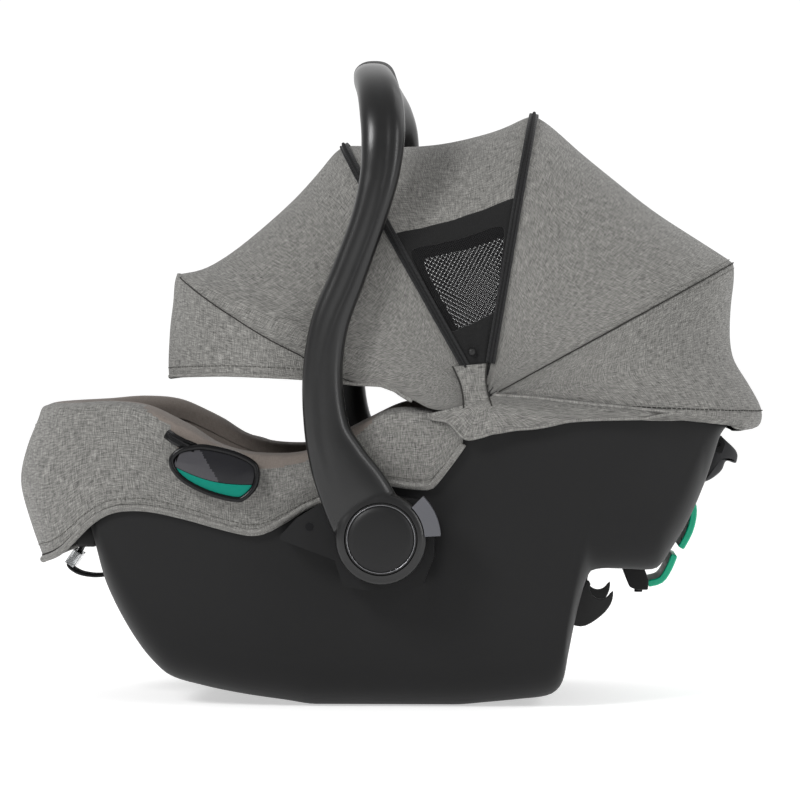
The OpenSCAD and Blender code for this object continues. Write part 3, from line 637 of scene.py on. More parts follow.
def plan(x):
    if x < -FOOT_ROUND:
        return (1 - min(1, (-FOOT_ROUND - x) / FRONT_LEN) ** FOOT_POWER) ** (1 / FOOT_POWER)
    if x > HEAD_ROUND:
        return 1 - (HEAD_CORNER - math.sqrt(HEAD_CORNER ** 2 - (x - HEAD_ROUND) ** 2)) / REF_HALF
    return 1


def half_at(x, z):
    """Half width of the shell's outside at x and height z."""
    return plan(x) * (BASE_HALF + SIDE_DRAFT * (z - 50))


def tub_ring(x, top, low, inset, radius, flat=8):
    """Cross ring from one rim round the bottom to the other."""
    r = min(radius, 0.75 * (top - low), 0.8 * (half_at(x, low) - inset))
    wide = half_at(x, low + r) - inset
    side = [(x, half_at(x, z) - inset, z) for z in np.linspace(top, low + r, 16)[:-1]]
    corner = [(x, wide - r + r * math.cos(a), low + r - r * math.sin(a))
              for a in np.linspace(0, math.pi / 2, 14)]
    bottom = [(x, (wide - r) * (1 - k / flat), low) for k in range(1, flat)]
    half = side + corner + bottom
    return [(p[0], -p[1], p[2]) for p in half] + [(x, 0, low)] + half[::-1]


def raised_panel(x, z):
    """How far the side of the shell stands out behind a curved crease."""
    crease = curve([(20, 40), (60, 40.3), (91, 41), (142, 45), (176, 55), (201, 76), (226, 118)], max(z, 21))
    return 2.2 * step(x, crease - 7, crease + 9) * step(z, 30, 110) * step(x, 215, 150)


def shell():
    """Outer shell, with the slots for the base hooks cut in its rear wall."""
    line = np.array([(x, under(x)) for x in np.linspace(FOOT_X, HEAD_X, 1500)])
    rows = []
    for x, low in evenly(line, 190):
        ring = []
        for px, py, pz in tub_ring(x, curve(RIM, x) - 18 * step(x, -272, -298), low, 0, 50):
            side = math.copysign(1, py) if abs(py) > 100 else 0
            ring.append((px, py + side * raised_panel(px, pz), pz))
        rows.append(ring)
    obj = recalculated(sheet_of("shell", rows, SHELL_PLASTIC))
    thickened(obj, 3.2, -1, 0)
    for y in (-HOOK_Y, HOOK_Y):
        cut(obj, block("slot", (148, y - 5, 46), (180, y + 5, 112)))
    sharpened(obj, 38)
    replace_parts(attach(obj, "seat_shell"), "outer_shell")


def quilting(x, pitch=42, depth=2.2):
    """Depth of the sewn channels across the lining."""
    return depth * math.exp(-(((x + 600) % pitch - pitch / 2) / 2.6) ** 2)


def lining():
    """Padded lining over the foam, turned outwards over the rim."""
    rows = []
    for x in np.linspace(-274, 261, 150):
        top = curve(RIM, x)
        low = foam_top(x) + 0.5 + LINING_T
        ring = tub_ring(x, top - 4, min(low, top - 5), LINING_IN, 60, 12)
        soft = []
        for k, (px, py, pz) in enumerate(ring):
            sew = quilting(px) * step(abs(k - (len(ring) - 1) / 2), 36, 30)
            soft.append((px, py, pz - sew))
        edge = half_at(x, top) - WALL - 0.8
        inner = abs(ring[0][1])
        over = [(x, edge, top - 2.5), (x, edge - 1.2, top + 0.6), (x, edge - 5, top + 2.2),
                (x, (edge + inner) / 2, top + 2.8), (x, inner + 4, top + 1.6), (x, inner + 1, top - 1)]
        rows.append([(p[0], -p[1], p[2]) for p in over] + soft + over[::-1])
    obj = recalculated(sheet_of("lining", rows, LINING_TAUPE))
    for polygon in obj.data.polygons:
        if polygon.normal.z < 0 and polygon.center.z > 0 and abs(polygon.center.y) < 0.02:
            obj.data.flip_normals()
            break
    thickened(obj, 2.0, -1, 0)
    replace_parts(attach(obj, "seat_shell"), "seat_lining")


# ---------------------------------------------------------------- the outer cover

HEM = [(-306, 121), (-283, 131), (-253, 158), (-232, 169), (-203, 171), (-169, 165), (-127, 154),
       (-106, 151), (-89, 158), (-60, 175), (-2, 193), (22, 191), (36, 190), (41, 191), (45, 195), (58, 212),
       (68, 226)]
COVER_END = 68
# Stretches of a section, counted from the hem, after which it lies over the rim.
RIM_STRETCH = 45
# Upper edge of the grey cloth on each side; the taupe lining shows between it and the rim.
GREY_EDGE = [(-306, 290), (-250, 290), (-238, 258.5), (-207, 254.7), (-180, 241), (-175, 232), (-169, 214),
             (-140, 203), (-102, 204.5), (-70, 209.5), (-36, 224), (-8, 244), (8, 275), (68, 290)]


def rim_point(t):
    """Plan point and outward direction along the rim, t from 0 at the side to 1 in front."""
    def at(s):
        if s < 0.4:
            x = COVER_END + (s / 0.4) * (-FOOT_ROUND - COVER_END)
            wide = 1
        else:
            a = math.radians(90 * min((s - 0.4) / 0.6, 1))
            x = -FOOT_ROUND - FRONT_LEN * math.sin(a) ** (2 / FOOT_POWER)
            wide = max(math.cos(a), 0) ** (2 / FOOT_POWER)
        y = BASE_HALF + SIDE_DRAFT * (curve(RIM, max(x, FOOT_X)) - 50)
        return np.array([x, y * wide])
    p = at(t)
    if t >= 1:
        return p, np.array([-1.0, 0.0])
    d = unit(at(min(t + 0.01, 1)) - at(max(t - 0.01, 0)))
    n = np.array([d[1], -d[0]])
    return p, n if n[1] > 0 or n[0] < 0 else -n


def cover_section(t):
    """Section of the cover from its hem up the outside and over the rim."""
    p, n = rim_point(t)
    x = max(FOOT_X, p[0])
    f = max(0, (t - 0.55) / 0.45) ** 2
    top, low = curve(RIM, x), curve(HEM, x)
    lean = SIDE_DRAFT * (top - low) * plan(x) * n[1]
    out_low = 0.8 - lean
    out_mid = 0.8 - lean / 2
    rise = top - low
    side_line = [(out_low + 2.2, 0.0), (out_low + 3.2, 0.05), (out_low * 0.7 + out_mid * 0.3 + 4.4, 0.20),
                 (out_mid + 5.0, 0.42), (out_mid * 0.75 + 5.4, 0.62), (out_mid * 0.42 + 5.2, 0.80),
                 (4.6, 0.94)]
    front_line = [(-8.6, 0.0), (-6.4, 0.05), (2.8, 0.20), (14.0, 0.43), (16.0, 0.58), (8.6, 0.78),
                  (-3.0, 0.96)]
    line = [((1 - f) * a[0] + f * b[0], low + rise * ((1 - f) * a[1] + f * b[1]))
            for a, b in zip(side_line, front_line)]
    back = -9 * f
    fat = float(np.interp(x, [-190, -160, -140, -60, -20, 10], [1, 0.9, 0.4, 0.4, 0.8, 1]))
    line += [(2.2 + back, top + 3.6 * fat), (-2.5 + back, top + 6.0 * fat), (-10 + back / 2, top + 7.6 * fat),
             (-18, top + 8.0 * fat), (-24, top + 6.0 * fat), (-LINING_IN - 1.0, top),
             (-LINING_IN - 1.5, top - 10)]
    line = path(line, 5)
    return [np.array([p[0] + n[0] * o, p[1] + n[1] * o, z]) for o, z in line]


def both_halves(half):
    """Rows of one side and the front, then the other side."""
    other = [[q * (1, -1, 1) for q in row] for row in half[-2::-1]]
    return half + other


def cover():
    """Grey outer cover over the foot end and both sides, with the taupe band at the rim."""
    times = list(np.linspace(0, 0.4, 46)[:-1]) + list(np.linspace(0.4, 1, 62))
    half = [cover_section(t) for t in times]
    rows = both_halves(half)
    stretches = len(rows[0]) - 1
    obj = recalculated(sheet_of("seat_cover_cloth", rows, COVER_CLOTH))
    obj.data.materials.append(LINING_TAUPE)
    for polygon in obj.data.polygons:
        c = polygon.center / MM
        inside = polygon.index % stretches > RIM_STRETCH
        if c.z > curve(GREY_EDGE, min(c.x, COVER_END)) and c.x > -200 or inside:
            polygon.material_index = 1
    thickened(obj, 2.2, 0, 1)
    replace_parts(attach(obj, "seat_shell"), "seat_cover")
    cover_edges(rows)


def cover_edges(rows):
    """Piping at the hem, the seam above it drawn as a dark tube of painted shade in its groove, and a row of
    stitches.
    """
    hem_line = np.array([row[0] + (0, 0, -0.2) for row in rows])
    away = np.array([row[1] - row[0] for row in rows]) * (1, 1, 0)
    away = np.array([unit(a + np.array([1e-6, 0, 0])) for a in away])
    piping = tube("cover_piping", evenly(hem_line + away * 1.2, 260), 3.0, PIPING_CLOTH, (0, 0, 1), 12)
    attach(piping, "seat_shell")
    # The dark tube along this line paints the shade in the groove above the piping.
    groove_line = np.array([row[4] * 0.5 + row[3] * 0.5 for row in rows]) + away * 0.9
    groove = tube("cover_seam_groove_shade", evenly(groove_line, 260), 0.9, SEAM_THREAD_AND_SHADE, (0, 0, 1), 6)
    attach(groove, "seat_shell")
    stitch_line = np.array([row[7] for row in rows]) + away * 1.1
    stitches = dashes("cover_stitches", stitch_line, 3.0, 1.4, 0.7, 0.5, away, GREY_THREAD)
    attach(stitches, "seat_shell")


# ---------------------------------------------------------------- the canopy

PIVOT = np.array([85.5, 263.0])
CANOPY_HALF, CANOPY_CORNER = 187.0, 110.0
CANOPY_FLAT = CANOPY_HALF - CANOPY_CORNER
# Radius at which the cloth ends at the pivot, and the one at which its weave has its true size.
PIVOT_GAP, WEAVE_RADIUS = 7, 210
BOWS = {"front": 158.2, "upper_front": 119.3, "upper_rear": 80.3, "rear": 28.6}
# Middle of the canopy from the skirt's hem over the top to the visor's edge, (x, z).
CROWN = [(298, 233.6), (309, 233.4), (319, 234.8), (324.5, 239.5), (326.6, 249.1), (323.9, 259.7),
         (314.2, 277.8), (303.6, 296), (300.1, 312.6), (299.5, 330), (300, 347.9), (301.4, 366),
         (300, 381.4), (292, 387), (271.8, 401), (233, 427.8), (198.7, 454.8), (165.1, 481.3),
         (144.9, 498.5), (126.3, 510.3), (112, 505.5), (91.9, 498), (53.1, 489.3), (20, 485.4),
         (-10, 484.6), (-38.1, 484.1), (-48.7, 478), (-62, 463), (-87.7, 436.5), (-127.6, 401.1),
         (-150, 384), (-168.5, 374), (-186.3, 372.8), (-190.5, 347), (-193.6, 325), (-194.6, 296),
         (-193.5, 281)]
# Edges of the side cloth as (radius from the pivot, angle).
VISOR_HEM = [(22, 197), (34, 196), (46, 190.8), (60, 181), (75, 173.9), (87, 171.9), (105.8, 173),
             (154, 173.3), (220, 174.6), (281, 176.3)]
VISOR_SEAM = [(22, 197), (34, 196), (46, 190.8), (60, 181), (75, 173.9), (87, 171.9), (105.8, 173),
              (126.8, 170.6), (158.8, 166.4), (220, 162), (281, 158.4)]
SKIRT_HEM = [(0, -26), (66, -17), (95, -10), (150, -6), (200, -6.3), (212, -8)]
SKIRT_STITCHING = -2.6
# Edge of the flap round the pivot as (angle, radius).
FLAP_EDGE = [(27, 9), (16, 14), (6, 28), (0, 60), (-3, 100), (-4, 165), (-7, 130), (-10, 95), (-17, 66),
             (-40, 38), (-71, 29), (-95, 31), (-116, 36), (-135, 34), (-150, 36), (-157, 43), (-163, 49),
             (-166, 48)]


def polar(x, z):
    """Angle in degrees and radius about the canopy's pivot."""
    return math.degrees(math.atan2(z - PIVOT[1], x - PIVOT[0])), math.hypot(x - PIVOT[0], z - PIVOT[1])


def from_pivot(angle, r):
    """Place (x, z) at an angle in degrees and a radius about the canopy's pivot."""
    a = math.radians(angle)
    return PIVOT[0] + r * math.cos(a), PIVOT[1] + r * math.sin(a)


CROWN_POLAR = np.array([polar(*p) for p in path([(11.5 + 0.986 * (x - 9), 259.5 + 0.983 * (z - 259.5))
                                                 for x, z in CROWN], 6)])
CROWN_POLAR = CROWN_POLAR[np.argsort(CROWN_POLAR[:, 0])]
SKIRT_END = float(CROWN_POLAR[0, 0])
VISOR_END = float(CROWN_POLAR[-1, 0])


def crown_radius(angle):
    return float(np.interp(angle, CROWN_POLAR[:, 0], CROWN_POLAR[:, 1]))


def edge_angle(table, r):
    return float(np.interp(r, [p[0] for p in table], [p[1] for p in table]))


def arch(d):
    """Half width, drop below the crown and outward direction d mm along the arch."""
    bend = math.pi / 2 * CANOPY_CORNER
    if d <= CANOPY_FLAT:
        return d, 0.0, 0.0, 1.0
    if d <= CANOPY_FLAT + bend:
        t = (d - CANOPY_FLAT) / CANOPY_CORNER
        return (CANOPY_FLAT + CANOPY_CORNER * math.sin(t), CANOPY_CORNER * (1 - math.cos(t)),
                math.sin(t), math.cos(t))
    return CANOPY_HALF, CANOPY_CORNER + d - CANOPY_FLAT - bend, 1.0, 0.0


def arch_length(drop):
    """Distance along the arch at which it has dropped so far."""
    if drop >= CANOPY_CORNER:
        return CANOPY_FLAT + math.pi / 2 * CANOPY_CORNER + drop - CANOPY_CORNER
    return CANOPY_FLAT + CANOPY_CORNER * math.acos(1 - max(drop, 0) / CANOPY_CORNER)


def hollow(angle, r):
    """How far the stretched cloth lies inside the line of the bows, with gathers at the pivot."""
    stops = [SKIRT_END] + sorted(BOWS.values()) + [VISOR_END]
    for a, b in zip(stops, stops[1:]):
        if a <= angle <= b:
            share = (angle - a) / (b - a)
            deep = 4 * share * (1 - share)
            gather = 0.8 * math.sin(share * math.pi * 5) * step(r, 120, 40)
            return (2.6 if b - a > 30 else 1.2) * deep * step(r, 15, 80) + gather
    return 0.0


def on_canopy(angle, d, lift=0.0):
    """Point on the cloth d mm along the arch from its middle, negative on the left."""
    y, drop, ny, nr = arch(abs(d))
    r = crown_radius(angle) - drop
    out = lift - hollow(angle, r)
    x, z = from_pivot(angle, r + nr * out)
    return np.array([x, math.copysign(1, d) * (y + ny * out), z])


def on_side(angle, r, side, lift=0.0):
    """Point on the cloth at radius r on one side."""
    return on_canopy(angle, side * arch_length(crown_radius(angle) - r), lift)


def gore(name, first, last, material, shift=None, inner=None, count=150, steps=22, thick=1.7):
    """Cloth between two angles. shift(r, u) moves the side cloth's angle; inner(u) is its lowest radius."""
    rows, uv = [], []
    for u in np.linspace(0, 1, steps):
        nominal = first + u * (last - first)
        total = arch_length(crown_radius(nominal) - (inner(u) if inner else PIVOT_GAP))
        row, place = [], []
        for d in np.linspace(-total, total, count):
            r = crown_radius(nominal) - arch(abs(d))[1]
            angle = nominal
            if shift:
                angle += (shift(r, u) - nominal) * step(abs(d), CANOPY_FLAT - 20, CANOPY_FLAT + 70)
            drop = crown_radius(nominal) - r
            reach = crown_radius(angle)
            share = (reach - PIVOT_GAP) / (crown_radius(nominal) - PIVOT_GAP)
            e = d if drop == 0 else math.copysign(arch_length(drop * share), d)
            row.append(on_canopy(angle, e))
            place.append((math.radians(angle) * WEAVE_RADIUS * MM, d * MM))
        rows.append(row)
        uv.append(place)
    obj = sheet_of(name, rows, material, uv)
    if Vector(obj.data.polygons[len(obj.data.polygons) // 2].normal).dot(
            Vector(rows[len(rows) // 2][count // 2]) - Vector((PIVOT[0], 0, PIVOT[1]))) < 0:
        obj.data.flip_normals()
    return thickened(obj, thick, -1, 1)


def weave_size(obj):
    """Width and length in metres of the spread-out cloth, from its area and the span of its weave map."""
    layer = obj.data.uv_layers["weave"]
    uv = np.zeros(len(layer.data) * 2)
    layer.data.foreach_get("uv", uv)
    span = np.ptp(uv.reshape(-1, 2), axis=0)
    area = cloth_area(obj)
    width = max(span[0], area / span[1])
    return float(width), float(span[1]), float(min(1.0, area / (width * span[1])) * width * span[1])


def stretched(obj):
    width, length, area = weave_size(obj)


def folding(obj, body_a, body_b, first, last):
    """Bakes the piece's placement into its mesh and works out the angle of each point about the pivot."""
    def place(angle):
        x, z = from_pivot(angle, 200)
        return (x * MM, 0.0, z * MM)
    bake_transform(obj)
    points = coordinates(obj) / MM
    angles = np.degrees(np.arctan2(points[:, 2] - PIVOT[1], points[:, 0] - PIVOT[0]))
    angles = np.where(angles < -90, angles + 360, angles)
    return obj


FRONT = ("canopy_upper_front", "canopy_front", BOWS["upper_front"], BOWS["front"])
TOP = ("canopy_upper_rear", "canopy_upper_front", BOWS["upper_rear"], BOWS["upper_front"])
REAR = ("canopy_rear", "canopy_upper_rear", BOWS["rear"], BOWS["upper_rear"])
SKIRT = ("seat_shell", "canopy_rear", SKIRT_END, BOWS["rear"])


def window_top(angle):
    """Radius of the black band's upper edge."""
    return float(np.interp(angle, [80, 90, 100, 110, 119.5], [171.5, 158, 151.5, 151.5, 157]))


def window_limits(angle):
    """Radii of the window's lower and upper edge."""
    return (np.interp(angle, [84, 100, 117.6], [72, 64, 62]),
            np.interp(angle, [84, 92, 100, 108, 117.6], [147, 139.5, 135.5, 136, 140.5]))


# Middle and half spread of the window in degrees, and how far the net reaches under its frame.
WINDOW_MIDDLE, WINDOW_SPREAD, NET_HOLD = 100.0, 17.0, 0.6


def window_hole(p, q):
    """Angle and radius inside the window, p and q from -1 to 1."""
    angle = WINDOW_MIDDLE + WINDOW_SPREAD * p
    low, high = window_limits(angle)
    return angle, (low + high) / 2 + (high - low) / 2 * q


def canopy_cloth():
    front = gore("canopy_cloth_front", BOWS["upper_front"], BOWS["front"], CANOPY_CLOTH[52],
                 shift=lambda r, u: BOWS["upper_front"]
                 + u * (edge_angle(VISOR_SEAM, r) - BOWS["upper_front"]))
    folding(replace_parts(front, "canopy_panel_front"), *FRONT)
    stretched(front)
    tuck = 0.3
    visor = gore("canopy_cloth_visor", BOWS["front"] - tuck, VISOR_END, CANOPY_CLOTH[0],
                 shift=lambda r, u: edge_angle(VISOR_SEAM, r) - tuck
                 + u * (edge_angle(VISOR_HEM, r) - edge_angle(VISOR_SEAM, r) + tuck),
                 inner=lambda u: 107, steps=12)
    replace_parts(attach(visor, "canopy_front"), "canopy_visor")
    stretched(visor)
    top = gore("canopy_cloth_top", BOWS["upper_rear"], BOWS["upper_front"], CANOPY_CLOTH[20],
               inner=lambda u: window_top(BOWS["upper_rear"] + u * 39.5))
    folding(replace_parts(top, "canopy_panel_top"), *TOP)
    stretched(top)
    rear = gore("canopy_cloth_rear", BOWS["rear"], BOWS["upper_rear"], CANOPY_CLOTH[38])
    folding(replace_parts(rear, "canopy_panel_rear"), *REAR)
    stretched(rear)
    skirt = gore("canopy_cloth_skirt", SKIRT_END, BOWS["rear"], CANOPY_CLOTH[0],
                 shift=lambda r, u: edge_angle(SKIRT_HEM, r) * (1 - u) + BOWS["rear"] * u, steps=30)
    folding(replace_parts(skirt, "canopy_skirt"), *SKIRT)
    stretched(skirt)


def side_windows():
    """Black frame and open net on each side of the top panel."""
    for name, side in SIDES.items():
        turns = []
        for k in range(4):
            for t in np.linspace(-1, 1, 18)[:-1]:
                turns.append([(t, -1), (1, t), (-t, 1), (-1, -t)][k])
        rows = []
        for k in np.linspace(0, 1, 9):
            row = []
            for p, q in turns:
                wide = 99.8 + 19.3 * p
                outer = (wide, 20 + (window_top(wide) - 18.5) * (q + 1) / 2)
                size = (abs(p) ** 14 + abs(q) ** 14) ** (1 / 14)
                inner = window_hole(p / size, q / size)
                a = outer[0] + (inner[0] - outer[0]) * k
                r = outer[1] + (inner[1] - outer[1]) * k
                row.append(on_side(a, r, side, 0.5))
            rows.append(row)
        frame_cloth = sheet_of(f"window_frame_{name}", rows, BLACK_CLOTH, closed=True)
        thickened(outward(frame_cloth, side), 1.2, -1, 1)
        folding(frame_cloth, *TOP)
        net = window_net(f"window_net_{name}", side)
        folding(net, *TOP)


def window_net(name, side, pitch=1.5, width=0.76, thick=0.25):
    """Crossing threads over the window."""
    verts, faces = [], []
    centre = np.array(from_pivot(100.6, 108))
    first = 62 if side < 0 else 36
    for turn in (first, first + 90):
        d = np.array([math.cos(math.radians(turn)), math.sin(math.radians(turn))])
        n = np.array([-d[1], d[0]])
        for c in np.arange(-60, 60, pitch):
            run = []
            for s in np.arange(-62, 62, 2.0):
                x, z = centre + n * c + d * s
                a, r = polar(x, z)
                low, high = window_limits(a)
                if abs(a - WINDOW_MIDDLE) < WINDOW_SPREAD + NET_HOLD and low - 1.5 < r < high + 1.5:
                    run.append((x, z))
            if len(run) < 3:
                continue
            base = len(verts)
            for x, z in run:
                for w, t in ((-1, 0), (1, 0), (1, 1), (-1, 1)):
                    a, r = polar(x + n[0] * w * width / 2, z + n[1] * w * width / 2)
                    verts.append(on_side(a, r, side, -0.6 + t * thick + (0.1 if turn == first else -0.1)))
            faces += bar_faces(base, len(run))
    return recalculated(add_object(name, verts, faces, None, NET_THREAD))


def arch_line(angle, offset, lift, inner=31, count=260):
    """Line over the canopy beside a bow, offset in mm towards greater angles."""
    total = arch_length(crown_radius(angle) - inner)
    points, ups = [], []
    for d in np.linspace(-total, total, count):
        r = max(crown_radius(angle) - arch(abs(d))[1], 14)
        a = angle + math.degrees(offset / r)
        e = math.copysign(arch_length(crown_radius(a) - r), d)
        points.append(on_canopy(a, e, lift))
        ups.append(unit(on_canopy(a, e, lift + 5) - points[-1]))
    return np.array(points), np.array(ups)


def zips():
    """Zip with tape, coil and stitching over the two upper bows."""
    for bow in ("upper_front", "upper_rear"):
        body = "canopy_" + bow
        angle = BOWS[bow]
        line, up = arch_line(angle, 0, 0.9)
        tape = swept(f"zip_tape_{bow}", line, rounded_band(8.0, 1.3, 2), up, ZIP_TAPE)
        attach(tape, body)
        teeth, teeth_up = arch_line(angle, 0, 2.0, count=900)
        coil = swept(f"zip_coil_{bow}", teeth, circle(1.5, 8), teeth_up, ZIP_COIL)
        points = coordinates(coil).reshape(-1, 8, 3)
        middle = points.mean(axis=1, keepdims=True)
        squeeze = np.where(np.arange(len(points)) % 2 == 0, 1.0, 0.62)[:, None, None]
        coil.data.vertices.foreach_set("co", (middle + (points - middle) * squeeze).ravel())
        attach(coil, body)
        for k, offset in enumerate((-3.1, 3.1)):
            stitch_line, stitch_up = arch_line(angle, offset, 1.35, inner=30)
            row = dashes(f"zip_stitches_{bow}_{k}", stitch_line, 2.4, 1.2, 0.6, 0.35, stitch_up, NET_THREAD)
            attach(row, body)


def seam_line(table, side, low, high, lift, count=60):
    """Line on one side along a table of edge angles, with its outward directions."""
    points, ups = [], []
    for r in np.linspace(low, high, count):
        a = edge_angle(table, r)
        reach = min(r, crown_radius(a) - 0.01)
        points.append(on_side(a, reach, side, lift))
        ups.append(unit(on_side(a, reach, side, lift + 5) - points[-1]))
    return points, ups


def canopy_trim():
    """Seams, binding, pivot flaps, tabs and the stitched hem; the dark line on the rear bow paints the shade
    of the fold there.
    """
    def full(table, low, high, lift, crown_angle):
        left, left_up = seam_line(table, -1, low, high, lift)
        right, right_up = seam_line(table, 1, low, high, lift)
        mid = [on_canopy(crown_angle, y, lift) for y in np.linspace(-CANOPY_FLAT, CANOPY_FLAT, 30)[1:-1]]
        up = [unit(on_canopy(crown_angle, 0, 9) - on_canopy(crown_angle, 0, 0))] * len(mid)
        return np.array(left + mid + right[::-1]), np.array(left_up + up + right_up[::-1])

    line, _ = full(VISOR_SEAM, 107, 279.9, 0.1, BOWS["front"])
    seam = tube("seam_front", evenly(line, 300), 0.55, SEAM_THREAD_AND_SHADE, (0, 1, 0.2), 6)
    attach(seam, "canopy_front")
    line, _ = full(VISOR_HEM, 60, 279.3, -0.6, VISOR_END)
    binding = tube("visor_binding", evenly(line, 320), 1.7, PIPING_CLOTH, (0, 1, 0.2), 8)
    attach(binding, "canopy_front")
    shifted = [(r, a - math.degrees(7.5 / max(r, 60))) for r, a in VISOR_HEM]
    line, up = full(shifted, 110, 279.0, 0.1, VISOR_END - math.degrees(7.5 / 280))
    stitches = dashes("visor_stitches", line, 2.8, 1.3, 0.7, 0.5, up, GREY_THREAD)
    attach(stitches, "canopy_front")
    # Dark line along the rear bow: painted shade of the cloth's fold, laid where the seam runs.
    line, _ = arch_line(BOWS["rear"], 0, 0.1, inner=14)
    seam = tube("seam_rear_fold_shade", evenly(line, 300), 0.55, SEAM_THREAD_AND_SHADE, (0, 1, 0.2), 6)
    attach(seam, "canopy_rear")
    for k, offset in enumerate((-4.2, 4.2)):
        line, up = arch_line(BOWS["rear"], offset, 0.0, inner=40)
        stitches = dashes(f"rear_stitches_{k}", line, 2.4, 1.3, 0.5, 0.3, up, PALE_THREAD)
        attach(stitches, "canopy_rear")
    places = np.linspace(-300, 300, 260)
    line = [on_canopy(SKIRT_STITCHING, d, 0.3) for d in places]
    up = [unit(on_canopy(SKIRT_STITCHING, d, 5) - on_canopy(SKIRT_STITCHING, d, 0)) for d in places]
    hem = dashes("skirt_stitches", line, 3.0, 1.3, 0.9, 0.5, up, SEAM_THREAD_AND_SHADE)
    folding(hem, *SKIRT)
    for name, side in SIDES.items():
        pivot_flap(name, side)
        pivot_tab(name, side)


def pivot_flap(name, side):
    """Fixed flap round a pivot, with its binding."""
    angles = np.linspace(FLAP_EDGE[0][0], FLAP_EDGE[-1][0], 70)
    edge = path(FLAP_EDGE, 8)
    order = np.argsort(edge[:, 0])
    rows = []
    for a in angles:
        reach = float(np.interp(a, edge[order, 0], edge[order, 1]))
        row = []
        for r in np.linspace(0.5, reach, 16):
            lift = 1.6 + 0.5 * math.sin(math.radians(a * 9)) * step(r, 12, 60)
            x, z = from_pivot(a, r)
            row.append((x, side * (CANOPY_HALF + lift), z))
        rows.append(row)
    flap = sheet_of(f"pivot_flap_{name}", rows, CANOPY_CLOTH[20])
    thickened(outward(flap, side), 1.6, -1, 1)
    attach(flap, "seat_shell")
    rim = [row[-1] for row in rows]
    binding = tube(f"pivot_flap_binding_{name}", evenly(rim, 120), 1.3, PIPING_CLOTH, (0, 1, 0), 6)
    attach(binding, "seat_shell")


def pivot_tab(name, side):
    """Tab over the pivot's flap, with its seams and its snap."""
    corners = [(59.0, 291.0), (88.0, 293.6), (92.0, 258), (68.5, 256)]
    rows = []
    for u in np.linspace(0, 1, 12):
        row = []
        for v in np.linspace(0, 1, 12):
            x, z = [(1 - u) * ((1 - v) * corners[0][k] + v * corners[3][k])
                    + u * ((1 - v) * corners[1][k] + v * corners[2][k]) for k in (0, 1)]
            puff = 0.8 * (16 * u * (1 - u) * v * (1 - v)) ** 0.5
            waist = 2.6 * math.sin(math.pi * v) * (1 - 2 * u)
            row.append((x + waist, side * (CANOPY_HALF + 1.1 + 1.4 * (1 - v) + puff * (1 - v)), z))
        rows.append(row)
    tab = sheet_of(f"pivot_tab_{name}", rows, CANOPY_CLOTH[0])
    thickened(outward(tab, side), 1.6, -1, 1)
    folding(tab, *TOP)
    for k, column in enumerate((rows[0], rows[-1])):
        line = evenly([(x, y + side * 0.8, z) for x, y, z in column], 20)
        seam = tube(f"pivot_tab_seam_{k}_{name}", line, 0.55, SEAM_THREAD_AND_SHADE, (0, 1, 0), 6)
        folding(seam, *TOP)
    snap = lathe(f"pivot_snap_{name}", [(0, 190.6), (2.0, 190.4), (2.9, 189.8), (3.1, 187), (0, 187)], 24,
                 (75.5, 303), side, BLACK_PLASTIC)
    folding(snap, *TOP)


# ---------------------------------------------------------------- the handle

ARM = [(-7, 204, 156, 31, 9), (-21, 204, 184, 29.5, 10.5), (-35, 204, 211, 24.5, 11), (-45, 204, 240, 19, 11),
       (-48.4, 204, 282, 16.8, 11), (-42.8, 204, 325, 15.9, 11), (-27, 204, 367, 15, 11),
       (-11, 204, 411, 14.6, 11), (-1.5, 203, 447, 16.2, 11), (1.6, 199, 478, 18.0, 11.5),
       (0.4, 187, 503, 18.8, 12), (-3.4, 166, 521, 18.0, 12.5), (-8.4, 135, 532.5, 17.0, 12.5),
       (-11, 100, 537.5, 16.2, 12.6)]
GRIP = [(-11, 100, 537.5, 16.6, 13.0), (-11.6, 50, 542.2, 16.4, 13.3), (-11.8, 0, 544, 16.4, 13.4),
        (-11.6, -50, 542.2, 16.4, 13.3), (-11, -100, 537.5, 16.6, 13.0)]
HUB = (0.4, 147.8)
HUB_R = 38.0


def squircle(angle, power=0.8):
    """Point of a rounded square of half size 1."""
    c, s = math.cos(angle), math.sin(angle)
    return math.copysign(abs(c) ** power, c), math.copysign(abs(s) ** power, s)


def arm_rows(line, sides, groove=None):
    """Rings round an arched bar; the outer face may carry a lengthwise groove."""
    places = line[:, :3]
    tangents = np.gradient(places, axis=0)
    rows = []
    for p, t, (a, b) in zip(places, tangents, line[:, 3:]):
        t = unit(t)
        w = unit(np.array([1.0, 0, 0]) - t * t[0])
        n = np.cross(t, w)
        row = []
        for k in range(sides):
            u, v = squircle(2 * math.pi * k / sides)
            dent = groove(p, u * a) if groove and v > 0 else 0.0
            row.append(p + w * u * a + n * (v * b - dent * v))
        rows.append(row)
    return rows


def arm_groove(p, across):
    """Depth of the crease down the outer face of an arm."""
    z = p[2]
    middle = np.interp(z, [190, 215, 250, 300, 340, 400, 470], [-14, -8, -3.5, -1, 1.5, 2.5, 2.5])
    deep = np.interp(z, [186, 215, 250, 300, 345, 400, 460, 500, 530],
                     [0, 0.7, 1.3, 1.5, 2.2, 2.4, 1.8, 0.8, 0])
    return deep * math.exp(-((across - middle) / 3.6) ** 2)


def remeshed(obj, size, smoothing, rounds):
    """Makes one skin of an object's parts, with voxels of a size in millimetres, and smooths it."""
    remesh = obj.modifiers.new("union", "REMESH")
    remesh.mode = "VOXEL"
    remesh.voxel_size = size * MM
    remesh.use_smooth_shade = True
    smooth = obj.modifiers.new("smooth", "SMOOTH")
    smooth.factor = smoothing
    smooth.iterations = rounds
    return applied(obj)


